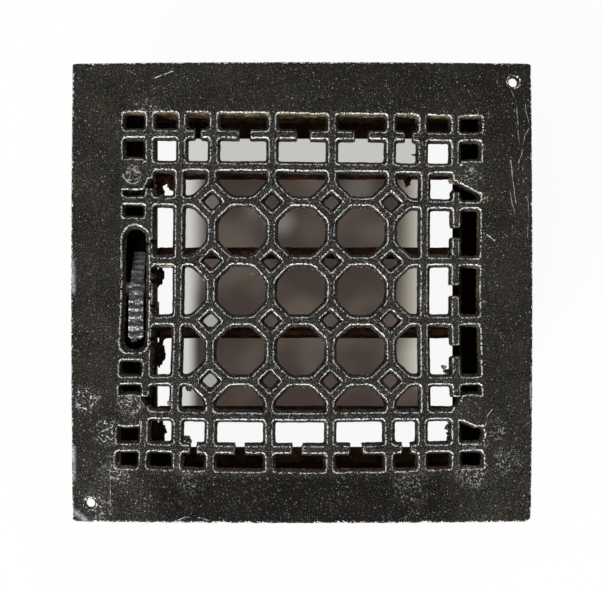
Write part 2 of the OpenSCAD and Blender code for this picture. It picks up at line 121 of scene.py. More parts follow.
@dataclass(frozen=True)
class Ripple:
    """Smooth unevenness in the plane, the sum of a few waves that never change."""

    length: float
    height: float
    seed: int
    waves: int = 6

    def at(self, x: Array, y: Array) -> Array:
        """Height of the unevenness at each point.

        Args:
            x: Places along X.
            y: Places along Y.

        Returns:
            Heights, mostly within plus or minus the stated height.
        """
        draw = np.random.default_rng(self.seed)
        total = np.zeros_like(np.asarray(x, dtype=float))
        for _ in range(self.waves):
            angle, phase = draw.uniform(0, 2 * math.pi, 2)
            wave = 2 * math.pi / (self.length * draw.uniform(0.6, 1.7))
            total += np.sin(wave * (x * math.cos(angle) + y * math.sin(angle)) + phase)
        return self.height * total / math.sqrt(self.waves)


class Corner(Enum):
    """Corner of a grid square, as its bit in the square's code."""

    LOW_LEFT = 1
    LOW_RIGHT = 2
    HIGH_RIGHT = 4
    HIGH_LEFT = 8


# For each square's code, the sides that its pieces of outline run from and to,
# with the opening on their left: bottom, right, top and left
CROSSINGS = {
    1: ["BL"], 2: ["RB"], 3: ["RL"], 4: ["TR"], 5: ["TR", "BL"], 6: ["TB"], 7: ["TL"],
    8: ["LT"], 9: ["BT"], 10: ["RB", "LT"], 11: ["RT"], 12: ["LR"], 13: ["BR"], 14: ["LB"],
}


def outlines(values: Array, low: float, step: float, level: float) -> list[Array]:
    """Closed outlines where a field on a square grid crosses a level.

    Args:
        values: Field at the grid points, rows along Y.
        low: Place of the first row and column.
        step: Distance between rows and columns.
        level: Value that the outlines follow.

    Returns:
        One array of points for each closed outline.
    """
    inside = values > level
    code = (inside[:-1, :-1] * Corner.LOW_LEFT.value + inside[:-1, 1:] * Corner.LOW_RIGHT.value
            + inside[1:, 1:] * Corner.HIGH_RIGHT.value + inside[1:, :-1] * Corner.HIGH_LEFT.value)
    follow: dict[tuple, tuple] = {}
    for row, column in zip(*np.nonzero((code > 0) & (code < 15))):
        side = {"B": (row, column, 0), "T": (row + 1, column, 0),
                "L": (row, column, 1), "R": (row, column + 1, 1)}
        for start, end in CROSSINGS[int(code[row, column])]:
            follow[side[start]] = side[end]
    loops = []
    while follow:
        first, key = follow.popitem()
        keys = [first]
        while key != first:
            keys.append(key)
            key = follow.pop(key)
        rows, columns, upright = np.array(keys).T
        near = values[rows, columns]
        far = values[rows + upright, columns + 1 - upright]
        share = (level - near) / (far - near)
        loops.append(low + step * np.stack([
            columns + share * (1 - upright), rows + share * upright], axis=1))
    return loops


@dataclass(frozen=True)
class Pattern:
    """Openings of the face, in millimetres from the middle of the plate.

    The depth of a point is how far it lies inside an opening, measured on the crest
    of the bars; it is negative on the bars.
    """

    window: float = 197.2
    window_dx: float = -0.5
    window_dy: float = 1.0
    bar: float = 3.3
    draft: float = 1.85
    pitch: float = 32.9
    diamond_flat: float = 4.95
    side_bar: float = 66.0
    # The side bars stand further out beside the field, and the next ones further in beyond it
    long_bar: float = 67.5
    end_column: float = 48.5
    outer_bar: float = 83.8
    outer_right: float = 84.8
    end_bar: float = 68.4
    last_bar: float = 86.3
    # Breaks in the outer bars from left to right: shift along the bar and width at the bottom
    back_gaps: tuple = ((0.0, 2.6), (0.8, 5.5), (0.6, 6.6), (0.2, 6.8), (1.2, 3.6))
    front_gaps: tuple = ((-0.2, 2.6), (0.0, 4.8), (-1.4, 4.6), (-1.6, 6.3), (0.6, 3.8))
    side_gaps: tuple = ((0.0, 5.5), (0.0, 5.5), (0.0, 5.5))
    gap_draft: float = 0.85
    gap_reach: float = 2.4
    boss_x: float = 93.0
    boss_y: float = 65.0
    boss_r: float = 8.3
    boss_soft: float = 1.2
    slot_x: float = -91.5
    slot_y: float = 1.9
    slot_length: float = 70.6
    slot_width: float = 15.4
    slot_draft: float = 2.2
    slot_soft: float = 6.0
    corner_soft: float = 2.7
    octagon_soft: float = 1.7
    diamond_soft: float = 1.6
    gap_soft: float = 1.3
    notch_half: float = 3.1
    notch_back: float = 5.0
    boss_flat: float = 8.1
    boss_inner: float = 6.0
    # How the casting came out of its mould: lean towards the back, spread towards the
    # front, corners drawn out, back bars down to the right and front bars bowed
    lean: float = 0.8
    spread: float = 1.1
    back_corner: float = 0.5
    front_corner: float = 1.6
    back_tilt: float = 1.9
    front_bow: float = 1.4
    right_sag: float = 1.3
    sag_y: float = 49.0
    # Corners lose this share of their rounding towards the bottom
    tighter: float = 0.55
    # Slanting edges in front of the right bosses: two places on each line, and the cell
    # below it as middle x, middle y, half width and half height
    slants: tuple = ((((85.0, 61.0), (97.6, 54.4)), (91.7, 57.0, 6.4, 7.6)),
                     (((86.5, -69.6), (98.8, -75.6)), (92.6, -75.0, 6.3, 6.0)))

    def columns(self, beside_field: bool) -> list[float]:
        """Centre lines of the upright bars, with the window's two sides.

        Args:
            beside_field: Whether the rows are the field's, and not those beyond it.

        Returns:
            The lines from left to right.
        """
        half = self.pitch / 2
        inner = [3 * half, self.long_bar] if beside_field else [self.end_column, self.side_bar]
        right = [half, *inner, self.outer_bar, self.window / 2]
        found = [-x for x in reversed(right)] + right
        if beside_field:
            found[-2] = self.outer_right
        return found

    @property
    def rows(self) -> list[float]:
        """Centre lines of the level bars, with the window's two ends.

        Returns:
            The lines from front to back.
        """
        half = self.pitch / 2
        back = [half, 3 * half, self.end_bar, self.last_bar, self.window / 2]
        return [-y for y in reversed(back)] + back

    def cells(self) -> list[Spot]:
        """Cells of the border, as they are between the crests of the bars.

        Returns:
            Low x, high x, low y and high y of each cell.
        """
        rows, half = self.rows, self.bar / 2
        last = len(rows) - 2
        places = [(c, r) for c in range(last + 1) for r in (0, 1, last - 1, last)]
        places += [(c, r) for r in range(2, last - 1) for c in (1, last - 1, last)]
        places += [(0, 2), (0, last - 2)]
        found = []
        for c, r in places:
            columns = self.columns(1 < r < last - 1)
            found.append((
                columns[c] + (half if c > 0 else 0), columns[c + 1] - (half if c < last else 0),
                rows[r] + (half if r > 0 else 0), rows[r + 1] - (half if r < last else 0)))
        end = self.slot_length / 2 + self.bar
        middle = self.slot_y - self.window_dy
        x0, x1 = columns[0], columns[1] - half
        found.append((x0, x1, middle + end, rows[6] - half))
        found.append((x0, x1, rows[3] + half, middle - end))
        return found

    def gaps(self) -> list[Spot]:
        """Breaks in the outer bars.

        Returns:
            Middle x, middle y, half width and half height of each break.
        """
        columns, rows = self.columns(False), self.rows
        reach = self.bar / 2 + self.gap_reach
        found = []
        for end, gaps in ((1, self.back_gaps), (-1, self.front_gaps)):
            for c, (shift, width) in enumerate(gaps, start=2):
                x = (columns[c] + columns[c + 1]) / 2 + shift
                found.append((x, end * self.last_bar, width / 2 + self.gap_draft, reach))
        for r, (shift, width) in enumerate(self.side_gaps, start=3):
            y = (rows[r] + rows[r + 1]) / 2 + shift
            found.append((self.outer_right, y, reach, width / 2 + self.gap_draft))
        found += [(side * self.outer_bar - self.window_dx,
                   end * (self.boss_y - self.notch_back) - self.window_dy, reach, self.notch_half)
                  for side, end in SIGNS]
        return found

    @staticmethod
    def box(x: Array, y: Array, place: Spot, soft: float) -> Array:
        """Depth inside an opening with rounded corners: middle x and y, half width and height."""
        cx, cy, half_x, half_y = place
        return soft_min(half_x - np.abs(x - cx), half_y - np.abs(y - cy), soft)

    def field(self, x: Array, y: Array, soft: float) -> Array:
        """Depth inside the octagons and diamonds of the field.

        Args:
            x: Places along X, from the middle of the window.
            y: Places along Y, from the middle of the window.
            soft: Share of the full rounding that the corners have.

        Returns:
            Depth inside the nearest of them.
        """
        flat = self.pitch / 2 - self.bar / 2
        u = x - self.pitch * np.round(x / self.pitch)
        v = y - self.pitch * np.round(y / self.pitch)
        square = soft_min(flat - np.abs(u), flat - np.abs(v), self.octagon_soft)
        slant = flat - (np.abs(u) + np.abs(v)) / math.sqrt(2)
        octagon = soft_min(square, slant, self.octagon_soft)
        u = x - self.pitch * (np.round(x / self.pitch - 0.5) + 0.5)
        v = y - self.pitch * (np.round(y / self.pitch - 0.5) + 0.5)
        diamond = soft_min(self.diamond_flat - np.abs(u + v) / math.sqrt(2),
                           self.diamond_flat - np.abs(u - v) / math.sqrt(2), self.diamond_soft)
        half = self.bar / 2
        place = (0, 0, self.long_bar - half, self.end_bar - half)
        limit = self.box(x, y, place, self.corner_soft * soft)
        return soft_min(np.maximum(octagon, diamond), limit, self.corner_soft * soft)

    def slot(self, x: Array, y: Array) -> Array:
        """Depth inside the rocker's slot, scaled to the same draft as the cells.

        Args:
            x: Places along X.
            y: Places along Y.

        Returns:
            Depth inside the slot.
        """
        half = self.slot_width / 2
        u, v = x - self.slot_x, y - self.slot_y
        ahead = np.maximum(v - (self.slot_length / 2 - half), 0)
        rounded = half - np.hypot(u, ahead)
        inside = soft_min(rounded, self.slot_length / 2 + v, self.slot_soft)
        return inside * self.draft / self.slot_draft

    def under_bosses(self, x: Array, y: Array) -> Array:
        """Depth inside the openings in front of the right bosses, whose back edges slant.

        Args:
            x: Places along X.
            y: Places along Y.

        Returns:
            Depth inside the nearer of them.
        """
        inside = np.full(np.shape(x), -9.0)
        for ((x0, y0), (x1, y1)), cell in self.slants:
            below = ((x - x0) * (y1 - y0) - (y - y0) * (x1 - x0)) / math.hypot(x1 - x0, y1 - y0)
            place = soft_min(below, self.box(x, y, cell, self.corner_soft), self.gap_soft)
            inside = np.maximum(inside, place)
        return inside

    def depth(self, x: Array, y: Array, level: float = 0.0) -> Array:
        """Depth of each point inside the nearest opening, with the uneven cast edge.

        Args:
            x: Places along X.
            y: Places along Y.
            level: Depth that is looked for; corners are tighter further down.

        Returns:
            Depth, negative on the bars and the plate.
        """
        soft = 1 - self.tighter * min(max(level / self.draft, 0), 1)
        across, along = x / self.boss_x, y / self.boss_x
        back, front = np.maximum(along, 0), np.maximum(-along, 0)
        drawn = across ** 3 * (self.back_corner * back + self.front_corner * front)
        bowed = self.front_bow * front ** 2 * np.maximum(1 - (1.2 * across) ** 2, -0.2)
        fallen = self.back_tilt * back * np.maximum(across + 0.55, 0) / 1.55
        leaning = self.lean * along
        x = x + Ripple(38, 0.16, 3).at(x, y) - leaning - self.spread * across * front - drawn
        near = np.exp(-((y - self.sag_y) / 13) ** 2)
        sunk = self.right_sag * np.clip((x - 45) / 25, 0, 1) * near
        below = self.under_bosses(x, y)
        y = y + Ripple(34, 0.16, 4).at(x, y) + bowed + fallen + sunk
        u, v = x - self.window_dx, y - self.window_dy
        inside = self.field(u, v, soft)
        for x0, x1, y0, y1 in self.cells():
            place = ((x0 + x1) / 2, (y0 + y1) / 2, (x1 - x0) / 2, (y1 - y0) / 2)
            inside = np.maximum(inside, self.box(u, v, place, self.corner_soft * soft))
        steep = self.draft / self.gap_draft
        for place in self.gaps():
            gap = self.box(u, v, place, self.gap_soft) * steep
            inside = soft_max(inside, gap, self.gap_soft)
        for side, end in SIGNS:
            across, along = x - side * self.boss_x, y - end * self.boss_y
            inside = soft_min(inside, np.hypot(across, along) - self.boss_r, self.boss_soft)
            beside = np.maximum(np.abs(along) - self.boss_flat, -side * across - self.boss_inner)
            inside = soft_min(inside, beside, self.boss_soft)
        inside = np.maximum(np.maximum(inside, self.slot(x, y)), below)
        return inside + Ripple(5.5, 0.08, 5).at(x, y) + Ripple(2.4, 0.05, 6).at(x, y)

    def slope(self, points: Array, level: float) -> tuple[Array, Array]:
        """Depth and its slope at some points.

        Args:
            points: Points in the plane.
            level: Depth that is looked for.

        Returns:
            Depth of each point, and the direction in which it grows.
        """
        x, y = points.T
        near = 0.05
        across = self.depth(x + near, y, level) - self.depth(x - near, y, level)
        along = self.depth(x, y + near, level) - self.depth(x, y - near, level)
        return self.depth(x, y, level), np.stack([across, along], axis=1) / (2 * near)

    def shift(self, points: Array, level: float) -> Array:
        """Move points along the slope until they lie at a level.

        Args:
            points: Points in the plane.
            level: Depth that they go to.

        Returns:
            The moved points.
        """
        moved = points.copy()
        for _ in range(5):
            depth, slope = self.slope(moved, level)
            steep = np.maximum((slope ** 2).sum(axis=1), 0.3)
            moved += slope * np.clip((level - depth) / steep, -0.6, 0.6)[:, None]
        return moved


@dataclass
class MeshMaker:
    """Vertices and faces of a piece while it is being built, in millimetres."""

    name: str

    def __post_init__(self) -> None:
        """Start with nothing in the mesh."""
        self.points: list[tuple[float, float, float]] = []
        self.faces: list[tuple[int, ...]] = []
        self.worn: list[float] = []

    def add(self, points: Array, worn: float = 0.0) -> list[int]:
        """Add vertices.

        Args:
            points: Vertices, three numbers each.
            worn: How bare their paint has been rubbed, 0 to 1.

        Returns:
            Their numbers.
        """
        start = len(self.points)
        self.points += [tuple(p) for p in points]
        self.worn += [worn] * len(points)
        return list(range(start, len(self.points)))

    def band(self, first: list[int], second: list[int]) -> None:
        """Join two closed rings of as many vertices with a band of faces.

        Args:
            first: Vertex numbers of one ring.
            second: Vertex numbers of the other ring.
        """
        count = len(first)
        for i in range(count):
            j = (i + 1) % count
            self.faces.append((first[i], first[j], second[j], second[i]))

    def piece(self, sharp_angle: float) -> Piece:
        """Make the Blender object.

        Args:
            sharp_angle: Edges that bend by more than this many degrees stay crisp.

        Returns:
            The new object.
        """
        mesh = bpy.data.meshes.new(self.name)
        mesh.from_pydata([tuple(MM * c for c in p) for p in self.points], [], self.faces)
        set_worn(mesh, self.worn)
        work = bmesh.new()
        work.from_mesh(mesh)
        bmesh.ops.recalc_face_normals(work, faces=work.faces)
        work.to_mesh(mesh)
        work.free()
        mesh.shade_smooth()
        mesh.set_sharp_from_angle(angle=math.radians(sharp_angle))
        return placed(self.name, mesh)


@dataclass
class FaceCasting:
    """The pierced face, cast as one piece with soft, drafted, uneven edges."""

    pattern: Pattern
    grid: float = 0.5
    reach: float = 106.0
    longest: float = 2.4
    sharpest: float = 16.0
    sharp_angle: float = 50.0
    # Rings down the side of an opening: depth inside it, height under the face and wear
    ring: tuple = (
        (-0.5, 0.0, 0.0), (-0.3, 0.05, 0.5), (-0.1, 0.2, 1.0), (0.15, 0.65, 0.85),
        (0.5, 1.7, 0.15), (0.95, 3.2, 0.0), (1.6, 5.3, 0.1), (1.85, 6.0, 0.4))
    # Rings round the plate: distance in from its side, height under the face and wear
    rim: tuple = (
        (1.7, 0.02, 0.0), (1.0, 0.16, 0.3), (0.35, 0.6, 0.75), (0.0, 1.4, 0.5),
        (0.0, 5.6, 0.1), (0.3, 6.0, 0.1))
    screw_at: tuple = ((116.3, 115.8), (-116.3, -115.8))
    # Rings down a screw hole: radius, height under the face and wear
    screw: tuple = ((4.4, 0.0, 0.0), (3.9, 0.25, 0.6), (2.55, 1.6, 0.4), (2.45, 5.7, 0.1),
                    (2.6, 6.0, 0.1))
    screw_points: int = 28
    # Radii of the plate's corners, from the back right one round to the left
    corners: tuple = (1.6, 1.3, 1.5, 3.2)
    corner_points: int = 7
    side_points: int = 110
    pinch: float = 0.0068
    # Vertices on the flat of the plate: half of their grid, its spacing, how far out they go
    # once they are shifted, and how far they keep from an opening and from a screw's middle
    grid_half: float = 124.0
    spacing: float = 4.2
    flat_reach: float = 123.5
    clear_of_edge: float = 1.1
    clear_of_screw: float = 6.0
    outline_level: float = 0.1
    # Slivers are left out: groups of triangles with no cross product above this
    smallest: float = 0.4

    def sampled(self) -> list[Array]:
        """Outlines of the openings, with closer points where they bend.

        Returns:
            The points of each outline.
        """
        line = np.arange(-self.reach, self.reach + self.grid, self.grid)
        x, y = np.meshgrid(line, line)
        level = self.outline_level
        found = outlines(self.pattern.depth(x, y), -self.reach, self.grid, level)
        ends = np.cumsum([len(loop) for loop in found])[:-1]
        points = self.pattern.shift(np.vstack(found), level)
        slopes = self.pattern.slope(points, level)[1]
        slopes /= np.linalg.norm(slopes, axis=1, keepdims=True)
        loops = []
        for loop, slope in zip(np.split(points, ends), np.split(slopes, ends)):
            step = np.linalg.norm(np.roll(loop, -1, axis=0) - loop, axis=1)
            alike = (slope * np.roll(slope, -1, axis=0)).sum(axis=1)
            bend = np.degrees(np.arccos(np.clip(alike, -1, 1)))
            cost = np.concatenate([[0], np.cumsum(step / self.longest + bend / self.sharpest)])
            count = math.ceil(cost[-1])
            marks = np.arange(count) * cost[-1] / count
            closed = np.vstack([loop, loop[:1]])
            loops.append(np.stack([np.interp(marks, cost, closed[:, i]) for i in (0, 1)], axis=1))
        return loops

    def plate_edge(self, half: float, inset: float) -> Array:
        """Outline of the plate, with worn corners and sides that bow a little.

        Args:
            half: Half of the plate's side.
            inset: Distance in from the side.

        Returns:
            Points round the plate.
        """
        points = []
        side = half - inset
        for turn, ((sx, sy), radius) in enumerate(zip(SIGNS, self.corners)):
            radius = max(radius - inset * 0.3, 0.6)
            for i in range(self.corner_points):
                angle = math.radians(90 * turn + 90 / (self.corner_points - 1) * i)
                points.append((sx * (side - radius) + radius * math.cos(angle),
                               sy * (side - radius) + radius * math.sin(angle)))
            ex, ey = SIGNS[(turn + 1) % 4]
            for i in range(1, self.side_points):
                share = 0.018 + 0.964 * i / self.side_points
                points.append((side * (sx + (ex - sx) * share), side * (sy + (ey - sy) * share)))
        x, y = np.array(points).T
        rough = np.abs(Ripple(9, 0.12, 8).at(x, y)) + np.abs(Ripple(3.1, 0.08, 9).at(x, y))
        rough += (y < -half + 8) * np.abs(Ripple(16, 0.3, 10).at(x, y))
        shrink = 1 - self.pinch * (np.minimum(np.abs(x), np.abs(y)) / half) ** 2 - rough / half
        return np.stack([x * shrink, y * shrink], axis=1)

    @staticmethod
    def regions(faces: list[tuple], walls: set[tuple]) -> list[list[int]]:
        """Groups of triangles that no wall divides.

        Args:
            faces: Vertex numbers of each triangle.
            walls: Edges that divide them, as sorted pairs of vertex numbers.

        Returns:
            Triangle numbers of each group.
        """
        edges = [[tuple(sorted((a, face[(i + 1) % 3]))) for i, a in enumerate(face)]
                 for face in faces]
        beside: dict[tuple, list[int]] = {}
        for number, keys in enumerate(edges):
            for key in keys:
                beside.setdefault(key, []).append(number)
        fresh = [True] * len(faces)
        groups = []
        for first in range(len(faces)):
            if not fresh[first]:
                continue
            fresh[first] = False
            queue, members = [first], []
            while queue:
                members.append(queue.pop())
                for key in edges[members[-1]]:
                    found = [f for f in beside[key] if fresh[f] and key not in walls]
                    for other in found:
                        fresh[other] = False
                    queue += found
            groups.append(members)
        return groups

    def fill(self, maker: MeshMaker, rings: list[list[int]], level: float, height: float) -> None:
        """Fill the flat top or bottom of the plate between the rings.

        Args:
            maker: Mesh that the faces go into.
            rings: The plate's own ring first, then those of the openings.
            level: Depth inside the openings at which the rings lie.
            height: Height of the surface.
        """
        wave = Ripple(21, 0.09, 11)
        top = level < 0
        line = np.arange(-self.grid_half, self.grid_half + 0.1, self.spacing)
        x, y = (a.ravel() for a in np.meshgrid(line, line))
        x = x + Ripple(7, 0.9, 12).at(x, y)
        y = y + Ripple(7, 0.9, 13).at(x, y)
        clear = self.pattern.depth(x, y) < level - self.clear_of_edge
        clear &= np.maximum(np.abs(x), np.abs(y)) < self.flat_reach
        for hx, hy in self.screw_at:
            clear &= np.hypot(x - hx, y - hy) > self.clear_of_screw
        x, y = x[clear], y[clear]
        low = np.minimum(wave.at(x, y) - 0.05, 0.0) if top else np.abs(wave.at(x, y))
        inner = maker.add(np.stack([x, y, height + low], axis=1))
        used = [i for ring in rings for i in ring] + inner
        flat = [Vector(maker.points[i][:2]) for i in used]
        edges, start = [], 0
        for ring in rings:
            edges += [(start + i, start + (i + 1) % len(ring)) for i in range(len(ring))]
            start += len(ring)
        verts, lines, faces, origin, line_origin, _ = delaunay_2d_cdt(flat, edges, [], 0, 1e-6)
        number = [used[o[0]] if o else maker.add(np.array([[v.x, v.y, height]]))[0]
                  for v, o in zip(verts, origin)]
        walls = {tuple(sorted(e)) for e, o in zip(lines, line_origin) if o}
        place = np.array([[v.x, v.y] for v in verts])[np.array(faces)]
        middle = place.mean(axis=1)
        ab, ac = place[:, 1] - place[:, 0], place[:, 2] - place[:, 0]
        area = np.abs(ab[:, 0] * ac[:, 1] - ab[:, 1] * ac[:, 0])
        depth = self.pattern.depth(*middle.T, level) - level
        hole = self.screw[0 if top else -1][0]
        for at in self.screw_at:
            depth = np.maximum(depth, hole - np.hypot(*(middle - at).T))
        for members in self.regions(faces, walls):
            solid = (depth[members] * area[members]).sum() < 0
            if solid and area[members].max() > self.smallest:
                maker.faces += [tuple(number[i] for i in faces[f]) for f in members]

    def build(self) -> Piece:
        """Cast the face.

        Returns:
            The face, standing for its solid.
        """
        low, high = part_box("face_grille")
        top, half = high.z / MM, high.x / MM
        maker = MeshMaker("face_casting")
        crest, back = [], []

        def level_ring(points: Array, down: float, worn: float) -> list[int]:
            """Add a level ring of vertices under the face."""
            return maker.add(np.column_stack([points, np.full(len(points), top - down)]), worn)

        rims = [level_ring(self.plate_edge(half, inset), down, worn)
                for inset, down, worn in self.rim]
        for upper, lower in zip(rims, rims[1:]):
            maker.band(lower, upper)
        crest.append(rims[0])
        back.append(rims[-1])
        turn = np.linspace(0, 2 * math.pi, self.screw_points, endpoint=False)
        for at in self.screw_at:
            circle = np.column_stack([np.cos(turn), np.sin(turn)])
            rings = [level_ring(at + radius * circle, down, worn)
                     for radius, down, worn in self.screw]
            for upper, lower in zip(rings, rings[1:]):
                maker.band(upper, lower)
            crest.append(rings[0])
            back.append(rings[-1])
        loops = self.sampled()
        ends = np.cumsum([len(loop) for loop in loops])[:-1]
        points = np.vstack(loops)
        above: list[list[int]] = []
        for level, down, worn in self.ring:
            points = self.pattern.shift(points, level)
            numbers = np.array(level_ring(points, down, worn))
            rings = [part.tolist() for part in np.split(numbers, ends)]
            for upper, lower in zip(above, rings):
                maker.band(upper, lower)
            if not above:
                crest += rings
            above = rings
        back += above
        self.fill(maker, crest, self.ring[0][0], top)
        self.fill(maker, back, self.ring[-1][0], low.z / MM)
        made = maker.piece(self.sharp_angle)
        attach(made, "case")
        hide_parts("face_grille")
        return made


class Wiring:
    """Short calls that place and join the nodes of one shader tree."""

    def __init__(self, tree: NodeTree) -> None:
        """Keep the tree that the nodes go into."""
        self.tree = tree

    def add(self, kind: str, feeds: dict | None = None, **settings: object) -> Node:
        """Place a node.

        Args:
            kind: Blender's name of the node's type.
            feeds: Value or socket for each named or numbered input.
            **settings: Properties of the node.

        Returns:
            The node.
        """
        node = self.tree.nodes.new(kind)
        for name, value in settings.items():
            setattr(node, name, value)
        for name, value in (feeds or {}).items():
            self.feed(node.inputs[name], value)
        return node

    def feed(self, socket: Socket, value: object) -> None:
        """Join a socket to an input, or set the input's own value.

        Args:
            socket: The input.
            value: A socket, a number or a colour.
        """
        if isinstance(value, Socket):
            self.tree.links.new(value, socket)
        elif socket.type == "RGBA" and len(value) == 3:
            socket.default_value = (*value, 1)
        else:
            socket.default_value = value

    def math(self, operation: str, *values: object, clamp: bool = False) -> Socket:
        """Work out one number from up to three, by Blender's name of the sum."""
        feeds = dict(enumerate(values))
        return self.add("ShaderNodeMath", feeds, operation=operation, use_clamp=clamp).outputs[0]

    def times(self, *values: object) -> Socket:
        """Product of some numbers."""
        return reduce(partial(self.math, "MULTIPLY"), values)

    def plus(self, *values: object) -> Socket:
        """Sum of some numbers."""
        return reduce(partial(self.math, "ADD"), values)

    def most(self, *values: object) -> Socket:
        """Largest of some numbers."""
        return reduce(partial(self.math, "MAXIMUM"), values)

    def minus(self, a: object, b: object) -> Socket:
        """First number less the second."""
        return self.math("SUBTRACT", a, b)

    def vector(self, operation: str, a: object, b: object) -> Socket:
        """Work out a vector, or a measure, from two vectors, by Blender's name of the sum."""
        node = self.add("ShaderNodeVectorMath", {0: a, 1: b}, operation=operation)
        return node.outputs["Value" if operation in ("DOT_PRODUCT", "DISTANCE") else "Vector"]

    def scaled(self, vector: Socket, size: object) -> Socket:
        """Vector times a number."""
        node = self.add("ShaderNodeVectorMath", {0: vector, 3: size}, operation="SCALE")
        return node.outputs[0]

    def axes(self, vector: Socket) -> Sockets:
        """X, Y and Z of a vector."""
        return self.add("ShaderNodeSeparateXYZ", {0: vector}).outputs

    def normal(self) -> Sockets:
        """X, Y and Z of the direction that the surface faces."""
        return self.axes(self.add("ShaderNodeNewGeometry").outputs["Normal"])

    def worn(self) -> Socket:
        """How rubbed the surface is, as its vertices say."""
        return self.add("ShaderNodeAttribute", attribute_name="worn").outputs["Fac"]

    def cells(self, place: Socket, scale: object) -> Sockets:
        """Scattered cells, so many in a metre, with their Distance and Color."""
        return self.add("ShaderNodeTexVoronoi", {"Vector": place, "Scale": scale}).outputs

    def chances(self, colour: Socket) -> Sockets:
        """Three chances, from the parts of a cell's colour."""
        return self.add("ShaderNodeSeparateColor", {0: colour}).outputs

    def ramp(self, value: object, low: object, high: object, start: object = 0.0,
             end: object = 1.0) -> Socket:
        """Turn one span of values into another, without going past its ends.

        Args:
            value: Number to turn.
            low: Value at which the result starts.
            high: Value at which the result ends.
            start: Result at the low value.
            end: Result at the high value.

        Returns:
            The result.
        """
        node = self.add("ShaderNodeMapRange", {0: value, 1: low, 2: high, 3: start, 4: end},
                        interpolation_type="SMOOTHSTEP")
        return node.outputs[0]

    def blend(self, share: Socket, start: object, end: object) -> Socket:
        """Number that goes from the start to the end as a share goes from 0 to 1."""
        return self.ramp(share, 0.0, 1.0, start, end)

    def stretch(self, along: Socket, start: float, end: float, soft: float) -> Socket:
        """Mask of what lies between two lines across an axis, with soft sides."""
        return self.times(self.ramp(along, start - soft, start + soft),
                          self.ramp(along, end + soft, end - soft))

    def mix(self, share: object, first: object, second: object) -> Socket:
        """Mix two colours, by the share of the second one."""
        node = self.add("ShaderNodeMix", {0: share, 6: first, 7: second}, data_type="RGBA")
        return node.outputs[2]

    def noise(self, place: object, scale: object, detail: float = 3.0,
              rough: float = 0.55) -> Socket:
        """Cloudy noise between 0 and 1.

        Args:
            place: Where it is sampled.
            scale: Clouds in a metre.
            detail: Number of finer layers.
            rough: Strength of the finer layers.

        Returns:
            The noise.
        """
        feeds = {"Vector": place, "Scale": scale, "Detail": detail, "Roughness": rough}
        return self.add("ShaderNodeTexNoise", feeds).outputs[0]

    def wobble(self, place: Socket, scale: float, reach: float) -> Socket:
        """Shift a place a little, so that what is drawn there comes out ragged.

        Args:
            place: The place.
            scale: Clouds of the shift in a metre.
            reach: Size of the shift, in metres.

        Returns:
            The shifted place.
        """
        cloud = self.add("ShaderNodeTexNoise", {"Vector": place, "Scale": scale})
        centred = self.vector("SUBTRACT", cloud.outputs["Color"], (0.5, 0.5, 0.5))
        return self.vector("ADD", place, self.scaled(centred, reach))


class Group(Wiring):
    """A shader node group in the making, with named sockets."""

    def __init__(self, name: str, inputs: dict[str, str], **outputs: str) -> None:
        """Start the group.

        Args:
            name: Name of the group.
            inputs: Type of each input by name.
            **outputs: Type of each output by name.
        """
        super().__init__(bpy.data.node_groups.new(name, "ShaderNodeTree"))
        for way, sockets in (("INPUT", inputs), ("OUTPUT", outputs)):
            for socket, kind in sockets.items():
                self.tree.interface.new_socket(socket, in_out=way, socket_type=f"NodeSocket{kind}")
        self.given = self.add("NodeGroupInput").outputs

    def give(self, **results: Socket) -> NodeTree:
        """Join the results to the group's outputs, and hand over its tree."""
        self.add("NodeGroupOutput", results)
        return self.tree


